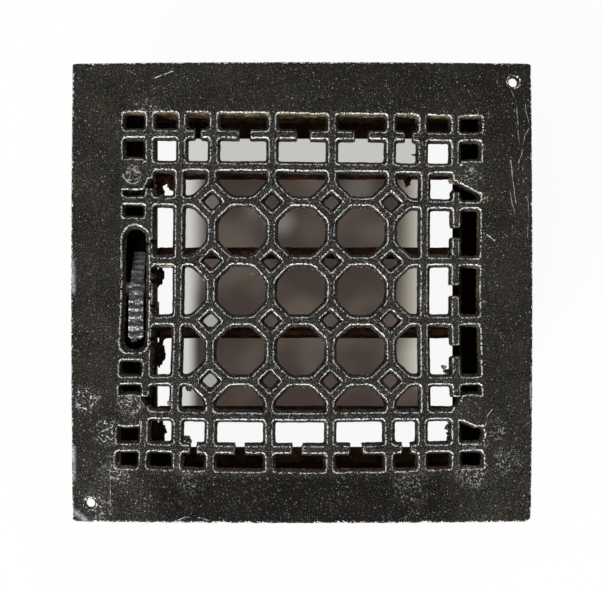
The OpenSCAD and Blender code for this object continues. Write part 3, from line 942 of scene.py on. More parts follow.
class SharedEffects:
    """The shader groups that finishes use: specks, cast skin, worn edges, marks and rust."""

    def __init__(self) -> None:
        """Build each group once."""
        self.specks = self.build_specks()
        self.skin = self.build_skin()
        self.edges = self.build_edges()
        self.scratch = self.build_scratch()
        self.scuffs = self.build_scuffs()
        self.rust = self.build_rust()

    def build_specks(self) -> NodeTree:
        """Small pale specks, some of them joined.

        Returns:
            The group, which puts out Mask.
        """
        wire = Group("Pale Specks", {"Place": "Vector", "Per Metre": "Float", "Share": "Float"},
                     Mask="Float")
        place = wire.wobble(wire.given["Place"], 900.0, 0.0009)
        cells = wire.cells(place, wire.given["Per Metre"])
        chance = wire.chances(cells["Color"])
        chosen = wire.math("LESS_THAN", chance[0], wire.given["Share"])
        size = wire.math("MULTIPLY_ADD", chance[1], 0.28, 0.18)
        dot = wire.ramp(cells["Distance"], size, wire.times(size, 0.45))
        return wire.give(Mask=wire.times(dot, chosen, wire.blend(chance[2], 0.25, 1.0)))

    def build_skin(self) -> NodeTree:
        """Height of a sand-cast skin: low lumps, grains and a few pits.

        Returns:
            The group, which puts out Height.
        """
        wire = Group("Cast Skin", {"Place": "Vector", "Lumps": "Float", "Grains": "Float"},
                     Height="Float")
        place = wire.given["Place"]
        lumps = wire.noise(place, wire.given["Lumps"], 2.0)
        grains = wire.noise(place, wire.given["Grains"], 3.0, 0.65)
        pits = wire.cells(place, wire.given["Lumps"])["Distance"]
        return wire.give(Height=wire.plus(wire.times(lumps, 0.9), wire.times(grains, 0.55),
                                          wire.ramp(pits, 0.0, 0.25, -0.25, 0.0)))

    def build_edges(self) -> NodeTree:
        """Worn edges, broken into bright and dim grains of bare metal.

        Returns:
            The group, which puts out Mask.
        """
        wire = Group("Worn Edges", {"Edge": "Float", "Place": "Vector", "Amount": "Float"},
                     Mask="Float")
        place, worn = wire.given["Place"], wire.given["Edge"]
        patches = wire.ramp(wire.noise(place, 330.0, 2.0), 0.3, 0.7)
        grains = wire.cells(wire.wobble(place, 1100.0, 0.0007), 1400.0)
        chance = wire.chances(grains["Color"])[0]
        both = wire.plus(wire.times(patches, 0.2), wire.times(chance, 0.8))
        limit = wire.minus(1.0, wire.times(wire.given["Amount"], wire.ramp(worn, 0.08, 0.85)))
        bright = wire.ramp(both, wire.minus(limit, 0.05), wire.plus(limit, 0.05))
        grain = wire.ramp(grains["Distance"], 0.74, 0.46)
        return wire.give(Mask=wire.times(bright, grain, wire.ramp(worn, 0.04, 0.3)))

    def build_scratch(self) -> NodeTree:
        """One thin scratch between two places.

        Returns:
            The group, which puts out Mask.
        """
        wire = Group("Scratch", {"Place": "Vector", "From": "Vector", "To": "Vector",
                                 "Width": "Float"}, Mask="Float")
        reach = wire.vector("SUBTRACT", wire.given["Place"], wire.given["From"])
        line = wire.vector("SUBTRACT", wire.given["To"], wire.given["From"])
        ahead, whole = (wire.vector("DOT_PRODUCT", a, line) for a in (reach, line))
        along = wire.scaled(line, wire.math("DIVIDE", ahead, whole, clamp=True))
        aside = wire.vector("DISTANCE", reach, along)
        return wire.give(Mask=wire.ramp(aside, wire.given["Width"], 0.0))

    def build_scuffs(self) -> NodeTree:
        """Chalky, curling scuffs round a place.

        Returns:
            The group, which puts out Mask.
        """
        wire = Group("Chalky Scuffs", {"Place": "Vector", "Centre": "Vector", "Reach": "Float"},
                     Mask="Float")
        place, reach = wire.given["Place"], wire.given["Reach"]
        away = wire.vector("DISTANCE", place, wire.given["Centre"])
        near = wire.ramp(away, reach, wire.times(reach, 0.2))
        curl = wire.math("ABSOLUTE", wire.minus(wire.noise(place, 210.0, 2.0, 0.6), 0.5))
        broken = wire.ramp(wire.noise(place, 700.0, 2.0, 0.6), 0.42, 0.58)
        line = wire.times(wire.ramp(curl, 0.035, 0.004), broken)
        crumbs = wire.ramp(wire.noise(place, 1400.0, 2.0, 0.7), 0.6, 0.72)
        return wire.give(Mask=wire.times(wire.most(line, wire.times(crumbs, 0.8)), near))

    def build_rust(self) -> NodeTree:
        """Rust: where it has come through, and its colour.

        Returns:
            The group, which puts out Mask and Colour.
        """
        wire = Group("Rust Bloom", {"Place": "Vector", "Per Metre": "Float", "Amount": "Float"},
                     Mask="Float", Colour="Color")
        place, scale = wire.given["Place"], wire.given["Per Metre"]
        limit = wire.minus(1.0, wire.given["Amount"])
        mask = wire.ramp(wire.noise(place, scale, 5.0, 0.65), wire.minus(limit, 0.08),
                         wire.plus(limit, 0.08))
        hue = wire.noise(place, wire.times(scale, 2.7), 4.0, 0.7)
        dark = wire.mix(wire.ramp(hue, 0.35, 0.6), linear(34, 20, 14), linear(92, 51, 33))
        pale = wire.mix(wire.ramp(hue, 0.6, 0.75), dark, linear(140, 100, 68))
        return wire.give(Mask=mask, Colour=pale)


class Finish(Wiring):
    """A material in the making, with the place that it is sampled at."""

    def __init__(self, name: str) -> None:
        """Start the material.

        Args:
            name: Name of the material.
        """
        self.material = bpy.data.materials.new(name)
        self.material.use_nodes = True
        self.material.node_tree.nodes.clear()
        super().__init__(self.material.node_tree)
        self.place = self.add("ShaderNodeTexCoord").outputs["Object"]
        self.x, self.y, self.z = self.axes(self.place)

    def use(self, group: NodeTree, **feeds: object) -> Sockets:
        """Place a shared group.

        Args:
            group: The group.
            **feeds: Its inputs, with an underscore for a space.

        Returns:
            The group's outputs.
        """
        named = {name.replace("_", " "): value for name, value in feeds.items()}
        return self.add("ShaderNodeGroup", {"Place": self.place} | named, node_tree=group).outputs

    def surface(self, shader: Node) -> Material:
        """Join the last shader to the material's output, and hand over the material."""
        self.add("ShaderNodeOutputMaterial", {"Surface": shader.outputs[0]})
        return self.material

    def shade(self, base: Socket, rough: Socket, gloss: float, height: Socket, strength: float,
              step: float) -> Material:
        """Give the material its shader.

        Args:
            base: Colour.
            rough: Roughness.
            gloss: Specular level.
            height: Height of the skin.
            strength: Strength of the skin's bump.
            step: Height of a full step of the bump, in metres.

        Returns:
            The material.
        """
        bump = self.add("ShaderNodeBump", {
            "Height": height, "Strength": strength, "Distance": step})
        return self.surface(self.add("ShaderNodeBsdfPrincipled", {
            "Base Color": base, "Roughness": rough, "Specular IOR Level": gloss,
            "Normal": bump.outputs[0]}))


@dataclass(frozen=True)
class Mark:
    """A scratch from one place to the next on the face, in millimetres."""

    path: tuple[tuple[float, float], ...]
    width: float = 0.3
    strength: float = 0.5


@dataclass(frozen=True)
class PaintedIron:
    """Old black paint on cast iron, flecked with pale dust and worn on its edges."""

    paint: Colour = linear(2, 2, 2)
    faded: Colour = linear(60, 57, 51)
    fleck: Colour = linear(200, 198, 190)
    bare: Colour = linear(246, 246, 245)
    tan: Colour = linear(176, 150, 108)
    crust: Colour = linear(104, 88, 56)
    brown: Colour = linear(66, 42, 30)
    few: float = 0.24
    many: float = 0.82
    gloss: float = 0.06
    top: float = 72.0
    # Chalky scuffs: middle x, middle y, reach and strength
    scuffs: tuple = (
        (-118.5, -59, 10, 1.0), (-107.5, -76.5, 10, 0.9), (-94, -61, 10, 0.7),
        (-101, -97, 12, 0.5), (-112, -118, 12, 0.5), (96, -80, 10, 0.5), (93, 65, 9, 0.4),
        (-93, 65, 6.5, 0.7), (-86, 103, 9, 0.4), (-60, -101, 14, 0.2), (94, -98, 13, 0.5),
        (112, -92, 10, 0.4), (60, -106, 14, 0.3), (108, -75, 9, 0.35))
    # Tan scars, where the paint has come off down to old primer
    scars: tuple = ((100.6, 52, 5.5, 1.0), (103.3, 97.6, 2.6, 1.0), (-81.7, 111.8, 2.6, 1.0),
                    (99.5, -5.5, 3.5, 0.7), (13.8, -24.3, 2.0, 0.8), (-72.3, 14.1, 3.4, 0.9))
    scratches: tuple[Mark, ...] = (
        Mark(((-80.6, 118.1), (-70.3, 122.0)), 0.3, 0.9),
        Mark(((115.2, 111.3), (118.1, 103.6), (119.4, 81.1)), 0.28, 0.4),
        Mark(((121.9, 108.3), (123.5, 98.7), (125.3, 91.1), (122.2, 85.6), (120.7, 76.2),
              (119.2, 71.2)), 0.28, 0.5),
        Mark(((114.9, 72.9), (115.9, 61.9), (117.6, 49.8)), 0.3, 0.5),
        Mark(((114.6, 54.7), (117.1, 43.2)), 0.3, 0.4),
        Mark(((121.3, 69.8), (122.2, 60.2)), 0.26, 0.35),
        Mark(((124.1, 54.2), (124.7, 41.0), (124.1, 30.0)), 0.26, 0.3),
        Mark(((101.7, 32.0), (105.7, 28.4)), 0.5, 0.9),
        Mark(((105.0, -64.1), (101.9, -67.7), (100.4, -73.7)), 0.28, 0.6),
        Mark(((101.3, -76.9), (98.3, -81.1)), 0.26, 0.5),
        Mark(((-105.3, -97.3), (-105.0, -117.1)), 0.35, 0.45),
        Mark(((-69.6, -125.3), (-64.1, -123.4), (-57.3, -123.4), (-47.1, -126.2)), 0.3, 0.6),
        Mark(((-124.0, -112.2), (-119.6, -111.1), (-114.5, -118.2), (-117.6, -120.3)), 0.26, 0.5),
        Mark(((-125.6, 17.5), (-125.8, 1.0)), 2.0, 0.24),
        Mark(((-125.6, -85.0), (-125.4, -102.5)), 2.0, 0.24),
        Mark(((-125.2, -120.0), (-119.0, -124.8)), 2.4, 0.3),
        Mark(((126.3, -50.0), (126.4, -63.0)), 1.1, 0.5),
        Mark(((-95.2, 61.5), (-93.9, 66.5), (-91.6, 69.8)), 0.4, 0.6),
        Mark(((-91.3, 69.6), (-92.8, 63.0)), 0.35, 0.5),
        Mark(((-98.4, 64.6), (-96.7, 61.5), (-93.3, 59.8), (-89.9, 61.2)), 0.38, 0.85),
        Mark(((-98.4, 64.8), (-97.2, 68.4), (-93.6, 70.3), (-89.6, 68.6), (-88.4, 65.0),
              (-89.8, 61.4)), 0.25, 0.25))

    def at(self, x: float, y: float) -> tuple[float, float, float]:
        """Place on top of the face, in metres."""
        return x * MM, y * MM, self.top * MM

    def marks(self, wire: Finish, effects: SharedEffects) -> tuple[Socket, Socket]:
        """Scuffs, scratches and scars of the face.

        Args:
            wire: Material in the making.
            effects: Shader groups that finishes share.

        Returns:
            Masks of the pale marks and of the tan scars.
        """
        ragged = wire.wobble(wire.place, 160.0, 0.0016)
        broken = wire.ramp(wire.noise(wire.place, 900.0, 2.0, 0.6), 0.36, 0.62)
        lines = []
        for mark in self.scratches:
            for start, end in zip(mark.path, mark.path[1:]):
                line = wire.use(effects.scratch, Place=ragged, From=self.at(*start),
                                To=self.at(*end), Width=mark.width * MM)
                lines.append(wire.times(line[0], mark.strength))
        pale = wire.times(wire.most(*lines), wire.math("MULTIPLY_ADD", broken, 0.8, 0.5))
        chalk, tan = (
            wire.most(*(wire.times(wire.use(effects.scuffs, Centre=self.at(x, y),
                                            Reach=reach * MM)[0], strength)
                        for x, y, reach, strength in places))
            for places in (self.scuffs, self.scars))
        return wire.most(pale, chalk), tan

    def flecks(self, wire: Finish, effects: SharedEffects, cloud: Socket, middle: Socket) -> Socket:
        """Pale dust, thicker towards the front, down the left side and round the openings.

        Args:
            wire: Material in the making.
            effects: Shader groups that finishes share.
            cloud: Where the paint is lighter and darker.
            middle: Mask of the clean part of the front border.

        Returns:
            Mask of the flecks.
        """
        front, side = wire.ramp(wire.y, -0.02, -0.115), wire.ramp(wire.x, -0.04, -0.11)
        across, along = (wire.math("ABSOLUTE", axis) for axis in (wire.x, wire.y))
        pierced = wire.times(wire.ramp(across, 0.104, 0.094), wire.ramp(along, 0.106, 0.096))
        near = wire.times(wire.ramp(across, 0.126, 0.1), wire.ramp(along, 0.126, 0.1))
        crowd = wire.most(wire.times(front, wire.blend(side, 0.78, 1.0)), wire.times(side, 0.35),
                          wire.times(near, 0.35))
        crowd = wire.times(crowd, wire.blend(middle, 1.0, 0.45),
                           wire.blend(wire.ramp(cloud, 0.35, 0.68), 0.4, 1.0))
        share = wire.blend(wire.most(crowd, wire.times(pierced, 0.8)), self.few, self.many)
        fine = wire.use(effects.specks, Per_Metre=1700.0, Share=share)[0]
        coarse = wire.use(effects.specks, Per_Metre=950.0, Share=wire.times(share, 0.28))[0]
        return wire.most(wire.times(fine, 0.78), coarse)

    def material(self, effects: SharedEffects) -> Material:
        """Make the material.

        Args:
            effects: Shader groups that finishes share.

        Returns:
            The material.
        """
        wire = Finish("painted_iron")
        place, x, y, z = wire.place, wire.x, wire.y, wire.z
        middle = wire.times(wire.ramp(y, -0.099, -0.104), wire.ramp(x, -0.09, -0.07),
                            wire.ramp(x, 0.09, 0.07))
        cloud = wire.noise(place, 42.0, 4.0, 0.6)
        flecks = self.flecks(wire, effects, cloud, middle)
        outward = wire.most(*(wire.math("ABSOLUTE", axis) for axis in (x, y)))
        pierced_part = wire.ramp(outward, 0.106, 0.104)
        # The outer openings' sides have a crust at the right and back, and are brown in front
        outer = wire.most(wire.ramp(x, 0.0945, 0.0965, 0.0, 0.3), wire.ramp(y, 0.0945, 0.0965))
        below = wire.ramp(z, (self.top - 0.3) * MM, (self.top - 1.2) * MM)
        crusted = wire.times(outer, pierced_part, wire.ramp(z, 0.0661, 0.0664), below,
                             wire.ramp(wire.noise(place, 380.0, 3.0, 0.7), 0.36, 0.6))
        browned = wire.times(wire.ramp(y, -0.0925, -0.0945), pierced_part, below, 0.8)
        # Painted highlight: upper parts of the slopes facing the front get more bare grains
        lit = wire.times(wire.ramp(wire.normal()[1], -0.12, -0.7),
                         wire.ramp(z, (self.top - 1.7) * MM, (self.top - 0.7) * MM),
                         wire.ramp(y, -0.03, -0.08, 0.85, 1.3), pierced_part)
        # The vertices' real wear, with the painted highlight added
        rubbed = wire.math("ADD", wire.worn(), wire.times(lit, 0.4), clamp=True)
        amount = wire.times(wire.blend(lit, 0.54, 0.64),
                            wire.ramp(outward, 0.116, 0.124, 1.0, 0.68))
        edge = wire.use(effects.edges, Edge=rubbed, Amount=amount)[0]
        mottle = wire.noise(place, 1500.0, 2.0, 0.75)
        tone = wire.plus(wire.times(cloud, 0.15), wire.times(mottle, 0.85))
        # Darker paint in the middle of the front border; painted shade at the back right
        back = wire.times(wire.ramp(y, 0.07, 0.1), wire.ramp(x, -0.06, 0.02))
        dark_front_and_painted_shade = wire.most(wire.times(middle, 0.6), wire.times(back, 0.33))
        rust = wire.use(effects.rust, Per_Metre=75.0, Amount=0.40)
        pale, tan = self.marks(wire, effects)
        base = wire.mix(wire.ramp(tone, 0.39, 0.63), self.paint, self.faded)
        for share, colour in ((dark_front_and_painted_shade, self.paint), (wire.times(rust["Mask"], 0.12), rust["Colour"]),
                              (crusted, self.crust), (browned, self.brown), (flecks, self.fleck),
                              (tan, self.tan), (pale, self.bare), (edge, self.bare)):
            base = wire.mix(share, base, colour)
        rough = wire.blend(edge, wire.ramp(tone, 0.35, 0.65, 0.45, 0.65), 0.34)
        skin = wire.use(effects.skin, Lumps=420.0, Grains=1500.0)[0]
        height = wire.plus(skin, wire.times(flecks, 0.35))
        return wire.shade(base, rough, self.gloss, height, 0.6, 0.0004)


@dataclass(frozen=True)
class RustyMetal:
    """Bare iron or sheet gone to rust all over, with darker scale left in places."""

    name: str
    scale_dark: Colour
    warm: Colour
    dust: Colour
    rust: float
    lumps: float
    gloss: float = 0.08
    # Colour of the painted shade in the narrow gap at the right wall
    painted_gap_shade: Colour = linear(16, 13, 11)

    def material(self, effects: SharedEffects) -> Material:
        """Make the material.

        Args:
            effects: Shader groups that finishes share.

        Returns:
            The material.
        """
        wire = Finish(self.name)
        rust = wire.use(effects.rust, Per_Metre=95.0, Amount=self.rust)
        cloud = wire.noise(wire.place, 60.0, 4.0, 0.6)
        runs = wire.noise(wire.vector("MULTIPLY", wire.place, (1.0, 1.0, 0.35)), 190.0, 4.0, 0.75)
        # Dust streaks and painted light on the back wall's inner side, where it faces the key lamp
        dust_and_painted_light = wire.times(wire.ramp(wire.y, 0.097, 0.0998), wire.ramp(runs, 0.3, 0.72, 0.0, 0.9),
                           wire.ramp(wire.normal()[1], -0.3, -0.8))
        # Painted shade in the narrow gap at the right wall
        deep = wire.times(wire.ramp(wire.x, 0.084, 0.088), wire.ramp(wire.x, 0.1006, 0.1002), 0.7)
        specks = wire.use(effects.specks, Per_Metre=520.0, Share=0.16)[0]
        base = wire.mix(wire.ramp(cloud, 0.35, 0.7), self.scale_dark, self.warm)
        for share, colour in ((rust["Mask"], rust["Colour"]), (dust_and_painted_light, self.dust),
                              (deep, self.painted_gap_shade), (wire.times(specks, 0.35), self.dust)):
            base = wire.mix(share, base, colour)
        rough = wire.blend(rust["Mask"], 0.62, 0.88)
        skin = wire.use(effects.skin, Lumps=self.lumps, Grains=self.lumps * 3.5)[0]
        return wire.shade(base, rough, self.gloss, skin, 0.8, 0.0007)


@dataclass(frozen=True)
class WornRocker:
    """Cast iron of the rocker, rubbed grey on its ribs by feet and black between them."""

    groove: Colour = linear(20, 19, 18)
    rubbed: Colour = linear(196, 196, 193)
    bright: Colour = linear(240, 240, 240)
    gloss: float = 0.2

    def material(self, effects: SharedEffects) -> Material:
        """Make the material.

        Args:
            effects: Shader groups that finishes share.

        Returns:
            The material.
        """
        wire = Finish("worn_rocker")
        worn, y = wire.worn(), wire.y
        streaks = wire.noise(wire.vector("MULTIPLY", wire.place, (0.3, 1.0, 1.0)), 900.0, 3.0, 0.65)
        front = wire.ramp(y, 0.006, -0.012)
        cover = wire.times(wire.plus(wire.times(worn, 0.75), 0.25),
                           wire.ramp(streaks, 0.36, 0.56, 0.3, 1.0), wire.blend(front, 1.0, 0.5),
                           wire.ramp(y, 0.016, 0.004, 1.0, 0.42))
        edge = wire.use(effects.edges, Edge=worn, Amount=wire.blend(front, 0.3, 0.4))[0]
        specks = wire.use(effects.specks, Per_Metre=1700.0, Share=wire.blend(front, 0.25, 0.6))[0]
        base = wire.mix(cover, self.groove, self.rubbed)
        base = wire.mix(edge, base, self.bright)
        base = wire.mix(wire.times(specks, 0.7), base, self.bright)
        skin = wire.use(effects.skin, Lumps=500.0, Grains=1600.0)[0]
        return wire.shade(base, wire.blend(cover, 0.7, 0.4), self.gloss, skin, 0.7, 0.0004)


@dataclass(frozen=True)
class PaleFloor:
    """White studio floor that keeps a faint shadow, with a painted shadow under the grille."""

    # Painted shadow under the grille, mottled between two colours, and painted shade round it,
    # olive at the right
    dim: Colour = linear(65, 55, 49)
    blurred_shadow: Colour = linear(92, 83, 74)
    shade: Colour = linear(199, 199, 196)
    olive_shade: Colour = linear(206, 202, 189)
    white_share: float = 0.93
    # Painted light on the painted shadow: x, y, radius of full light, outer radius and strength
    glints: tuple = (
        (-0.0536, -0.0166, 0.0055, 0.0075, 0.6), (-0.0536, -0.0521, 0.0055, 0.0075, 0.57),
        (-0.0536, 0.0542, 0.0055, 0.0075, 0.16), (-0.0125, 0.042, 0.0, 0.0125, 0.25),
        (0.0338, 0.0625, 0.002, 0.014, 0.12), (-0.0276, 0.0495, 0.001, 0.008, 0.07))

    def seen(self, wire: Finish) -> Socket:
        """Floor colour: white, painted shade inside the case and painted shadow under the grille.

        Args:
            wire: Material in the making.

        Returns:
            The colour.
        """
        x, y = wire.x, wire.y
        inner_y = wire.stretch(y, -0.074, 0.072, 0.003)
        shaded = wire.most(wire.times(wire.stretch(x, -0.0722, 0.072, 0.001), inner_y),
                           wire.times(wire.stretch(y, -0.074, 0.098, 0.004),
                                      wire.stretch(x, -0.072, 0.072, 0.003)))
        # Edges of the painted shadow under the grille, which slant in the front rows
        left = wire.ramp(x, -0.0685, wire.ramp(y, 0.04, -0.03, -0.0545, -0.0605))
        ahead = wire.plus(x, wire.plus(wire.ramp(y, -0.024, -0.038, 0.0, 0.003),
                                       wire.ramp(y, -0.046, -0.0615, 0.0, -0.017)))
        inside = wire.ramp(x, 0.0735, 0.0715)
        # The painted shade turns olive towards the right edge of the painted shadow
        warm = wire.times(wire.ramp(ahead, 0.086, 0.070), inside, wire.ramp(x, 0.0, 0.05), inner_y)
        # Mask of the painted shadow under the grille
        dark = wire.times(left, wire.ramp(ahead, 0.0755, 0.0535), inside,
                          wire.stretch(y, -0.0735, 0.0735, 0.0035))
        # Painted pools of light lift the painted shadow in places
        for spot_x, spot_y, inner, outer, strength in self.glints:
            gap = wire.vector("DISTANCE", wire.place, (spot_x, spot_y, 0.0))
            dark = wire.times(dark, wire.ramp(gap, inner, outer, 1.0 - strength, 1.0))
        blur = wire.ramp(wire.noise(wire.place, 22.0, 2.0, 0.4), 0.42, 0.68)
        # Painted shade inside the case, lighter at the left
        deep = wire.times(shaded, wire.ramp(x, -0.06, -0.048, 0.8, 0.96))
        seen = wire.mix(warm, wire.mix(deep, (1, 1, 1), self.shade), self.olive_shade)
        return wire.mix(dark, seen, wire.mix(blur, self.dim, self.blurred_shadow))

    def material(self) -> Material:
        """Make the material.

        Returns:
            The material.
        """
        wire = Finish("pale_floor")
        seen = wire.add("ShaderNodeEmission", {"Color": self.seen(wire)})
        lit = wire.add("ShaderNodeBsdfDiffuse", {"Color": (0.9, 0.9, 0.9)})
        ray = wire.add("ShaderNodeLightPath").outputs
        looks = wire.most(*(ray[f"Is {kind} Ray"] for kind in ("Camera", "Glossy", "Transmission")))
        both = wire.add("ShaderNodeMixShader", {
            0: wire.times(looks, self.white_share), 1: lit.outputs[0], 2: seen.outputs[0]})
        # Seen from below, the floor lets the camera through to the underside of the case
        under = wire.add("ShaderNodeNewGeometry").outputs["Backfacing"]
        clear = wire.add("ShaderNodeBsdfTransparent")
        return wire.surface(wire.add("ShaderNodeMixShader", {
            0: wire.times(under, ray["Is Camera Ray"]), 1: both.outputs[0], 2: clear.outputs[0]}))


@dataclass(frozen=True)
class Roughening:
    """How a roughened copy of a casting is made, in millimetres."""

    voxel: float
    lump: float
    lump_size: float
    grain: float
    grain_size: float
    # Left of this place the skin is even and set back, as parts slide past each other there,
    # and set back further beyond the step
    calm_x: float = -200.0
    calm_step: float = 2.4
    set_back: tuple[float, float] = (-0.15, -0.45)
    # How strongly a vertex that stands out counts as rubbed
    rub: float = 2.6

    def proud(self, mesh: Mesh, place: Array, outward: Array) -> Array:
        """How far each vertex stands out from its surroundings, where paint rubs off first.

        Args:
            mesh: Mesh of the copy.
            place: Place of each vertex.
            outward: Normal of each vertex.

        Returns:
            0 in the flat and in hollows, up to 1 on edges and crests.
        """
        ends = np.empty(len(mesh.edges) * 2, dtype=int)
        mesh.edges.foreach_get("vertices", ends)
        a, b = ends.reshape(-1, 2).T
        count = np.maximum(np.bincount(ends, minlength=len(place)), 1)[:, None]
        value = place
        for _ in range(2):
            total = np.zeros_like(place)
            np.add.at(total, a, value[b])
            np.add.at(total, b, value[a])
            value = total / count
        standing = ((place - value) * outward).sum(axis=1) / (self.voxel * MM)
        return np.clip(standing * self.rub, 0, 1)

    def reshape(self, place: Array) -> Array:
        """Vertices of the copy, left as they are unless the casting needs more."""
        return place

    def copy(self, node: str, name: str, body: str, slot: str) -> Piece:
        """Make a new piece of a solid's shape, with an uneven cast or rusted skin.

        Args:
            node: Name of the solid.
            name: Name of the new piece.
            body: Body that it rides on.
            slot: Not used.

        Returns:
            The new piece, standing for the solid.
        """
        made = placed(name, frame["nodes"][node].data.copy())
        remesh = made.modifiers.new("even_skin", "REMESH")
        remesh.mode = "VOXEL"
        remesh.voxel_size = self.voxel * MM
        graph = bpy.context.evaluated_depsgraph_get()
        mesh = bpy.data.meshes.new_from_object(made.evaluated_get(graph))
        made.modifiers.clear()
        made.data = mesh
        low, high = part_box(node)
        place = np.empty(len(mesh.vertices) * 3)
        mesh.vertices.foreach_get("co", place)
        place = place.reshape(-1, 3)
        outward = np.array([v.vector for v in mesh.vertex_normals])
        shift = np.array([
            self.lump * (noise.fractal(Vector(p) / (self.lump_size * MM), 1.0, 2.0, 3) - 0.25)
            + self.grain * (noise.noise(Vector(p) / (self.grain_size * MM)) - 0.35)
            for p in place])
        for step, depth in enumerate(self.set_back):
            shift[place[:, 0] < (self.calm_x - step * self.calm_step) * MM] = depth
        place = self.reshape(place + outward * (shift * MM)[:, None])
        place = np.clip(place, np.array(low), np.array(high))
        mesh.vertices.foreach_set("co", place.ravel())
        set_worn(mesh, self.proud(mesh, place, outward))
        mesh.materials.clear()
        mesh.shade_smooth()
        mesh.update()
        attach(made, body)
        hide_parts(node)
        return made


@dataclass(frozen=True)
class RibbedRocker(Roughening):
    """Roughening of the rocker, which keeps its ribs crisp and narrows its back end."""

    back_r: float = 47.0
    rise: float = 4.6
    span: float = 36.5
    rib_spread: float = 0.95
    rib_count: int = 13
    tilt: float = 30.5
    pivot: tuple[float, float] = (1.5, 59.0)
    middle_x: float = -91.5
    taper: float = 0.17
    crest: float = 0.45

    def risen(self, radius: Array, below: float, over: float = 0.8) -> Array:
        """Share from 0 to 1, that grows from a depth below the back over some millimetres."""
        return np.clip((radius - self.back_r + below) / over, 0, 1)

    def own(self, place: Array) -> tuple[Array, Array]:
        """Where points lie on the ribbed back.

        Args:
            place: The points.

        Returns:
            Angle of each point along the back and its distance from the back's centre.
        """
        turn = math.radians(self.tilt)
        y, z = place[:, 1] / MM - self.pivot[0], place[:, 2] / MM - self.pivot[1]
        ahead = y * math.cos(turn) - z * math.sin(turn)
        above = y * math.sin(turn) + z * math.cos(turn) - (self.rise - self.back_r)
        return np.degrees(np.arctan2(ahead, above)), np.hypot(ahead, above)

    def rib(self, place: Array) -> Array:
        """Height of the ribs, which wander a little.

        Args:
            place: The points.

        Returns:
            0 in a groove, up to 1 on a crest.
        """
        wander = np.array([noise.noise(Vector(p) / (4.5 * MM)) for p in place])
        angle = self.own(place)[0] + 2.4 * wander
        phase = (angle / (self.span * self.rib_spread) + 1) / 2 * (self.rib_count - 1)
        return 0.5 + 0.5 * np.cos(2 * math.pi * phase)

    def reshape(self, place: Array) -> Array:
        """Raise the ribs, deepen the grooves and narrow the back end.

        Args:
            place: Vertices of the copy.

        Returns:
            The moved vertices.
        """
        angle, radius = self.own(place)
        lift = self.risen(radius, 1.4) * self.crest * (self.rib(place) ** 1.5 - 0.7) / radius
        turned = place.copy()
        turn = math.radians(self.tilt)
        centre = np.array([self.pivot[0] + (self.rise - self.back_r) * math.sin(turn),
                           self.pivot[1] + (self.rise - self.back_r) * math.cos(turn)]) * MM
        turned[:, 1:] += (place[:, 1:] - centre) * lift[:, None]
        narrowing = self.taper * np.clip(0.4 + angle / self.span, 0, 1.4)
        narrow = 1 - self.risen(radius, 3.5) * narrowing
        middle = self.middle_x * MM
        turned[:, 0] = middle + (place[:, 0] - middle) * narrow
        return turned

    def proud(self, mesh: Mesh, place: Array, outward: Array) -> Array:
        """How rubbed each vertex is: the crests of the ribs and the casting's edges.

        Args:
            mesh: Mesh of the copy.
            place: Place of each vertex.
            outward: Normal of each vertex.

        Returns:
            0 in the grooves, up to 1 on the crests.
        """
        angle, radius = self.own(place)
        edges = super().proud(mesh, place, outward) * self.risen(radius, 3.0, 1.2)
        ribs = self.risen(radius, 1.2) * (0.12 + 0.88 * self.rib(place) ** 1.4)
        shiny = np.clip(0.62 - angle / self.span * 0.55, 0.3, 1)
        return np.clip(shiny * (ribs + 0.6 * edges), 0, 1)


@dataclass(frozen=True)
class RustLump:
    """A ragged flake or lump of rust scale, in millimetres."""

    name: str
    body: str
    at: tuple[float, float, float]
    size: tuple[float, float, float]
    seed: int
    skin: str = "rusty_iron"
    slot: str = "rusty_iron"
    ragged: float = 0.3
    worn: float = 0.0
    # The lump is rubbed flat here, where it would reach into the tie bar
    left: float = -200.0

    def build(self) -> Piece:
        """Make the lump.

        Returns:
            The lump, riding on its body.
        """
        work = bmesh.new()
        bmesh.ops.create_icosphere(work, subdivisions=4, radius=1.0)
        start = Vector((self.seed * 3.7, self.seed * 1.9, self.seed * 0.7))
        for vert in work.verts:
            big = noise.fractal(vert.co * 1.3 + start, 1.0, 2.1, 2)
            small = noise.noise(Vector([c * s / 0.9 for c, s in zip(vert.co, self.size)]) + start)
            vert.co *= 1 + 0.6 * big + self.ragged * small
            vert.co = Vector([MM * (a + s * c) for a, s, c in zip(self.at, self.size, vert.co)])
            vert.co.x = max(vert.co.x, self.left * MM)
        mesh = bpy.data.meshes.new(self.name)
        work.to_mesh(mesh)
        work.free()
        mesh.shade_smooth()
        if self.worn:
            set_worn(mesh, [
                self.worn * (0.6 + noise.noise(v.co / (1.3 * MM))) for v in mesh.vertices])
        made = placed(self.name, mesh)
        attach(made, self.body)
        return made


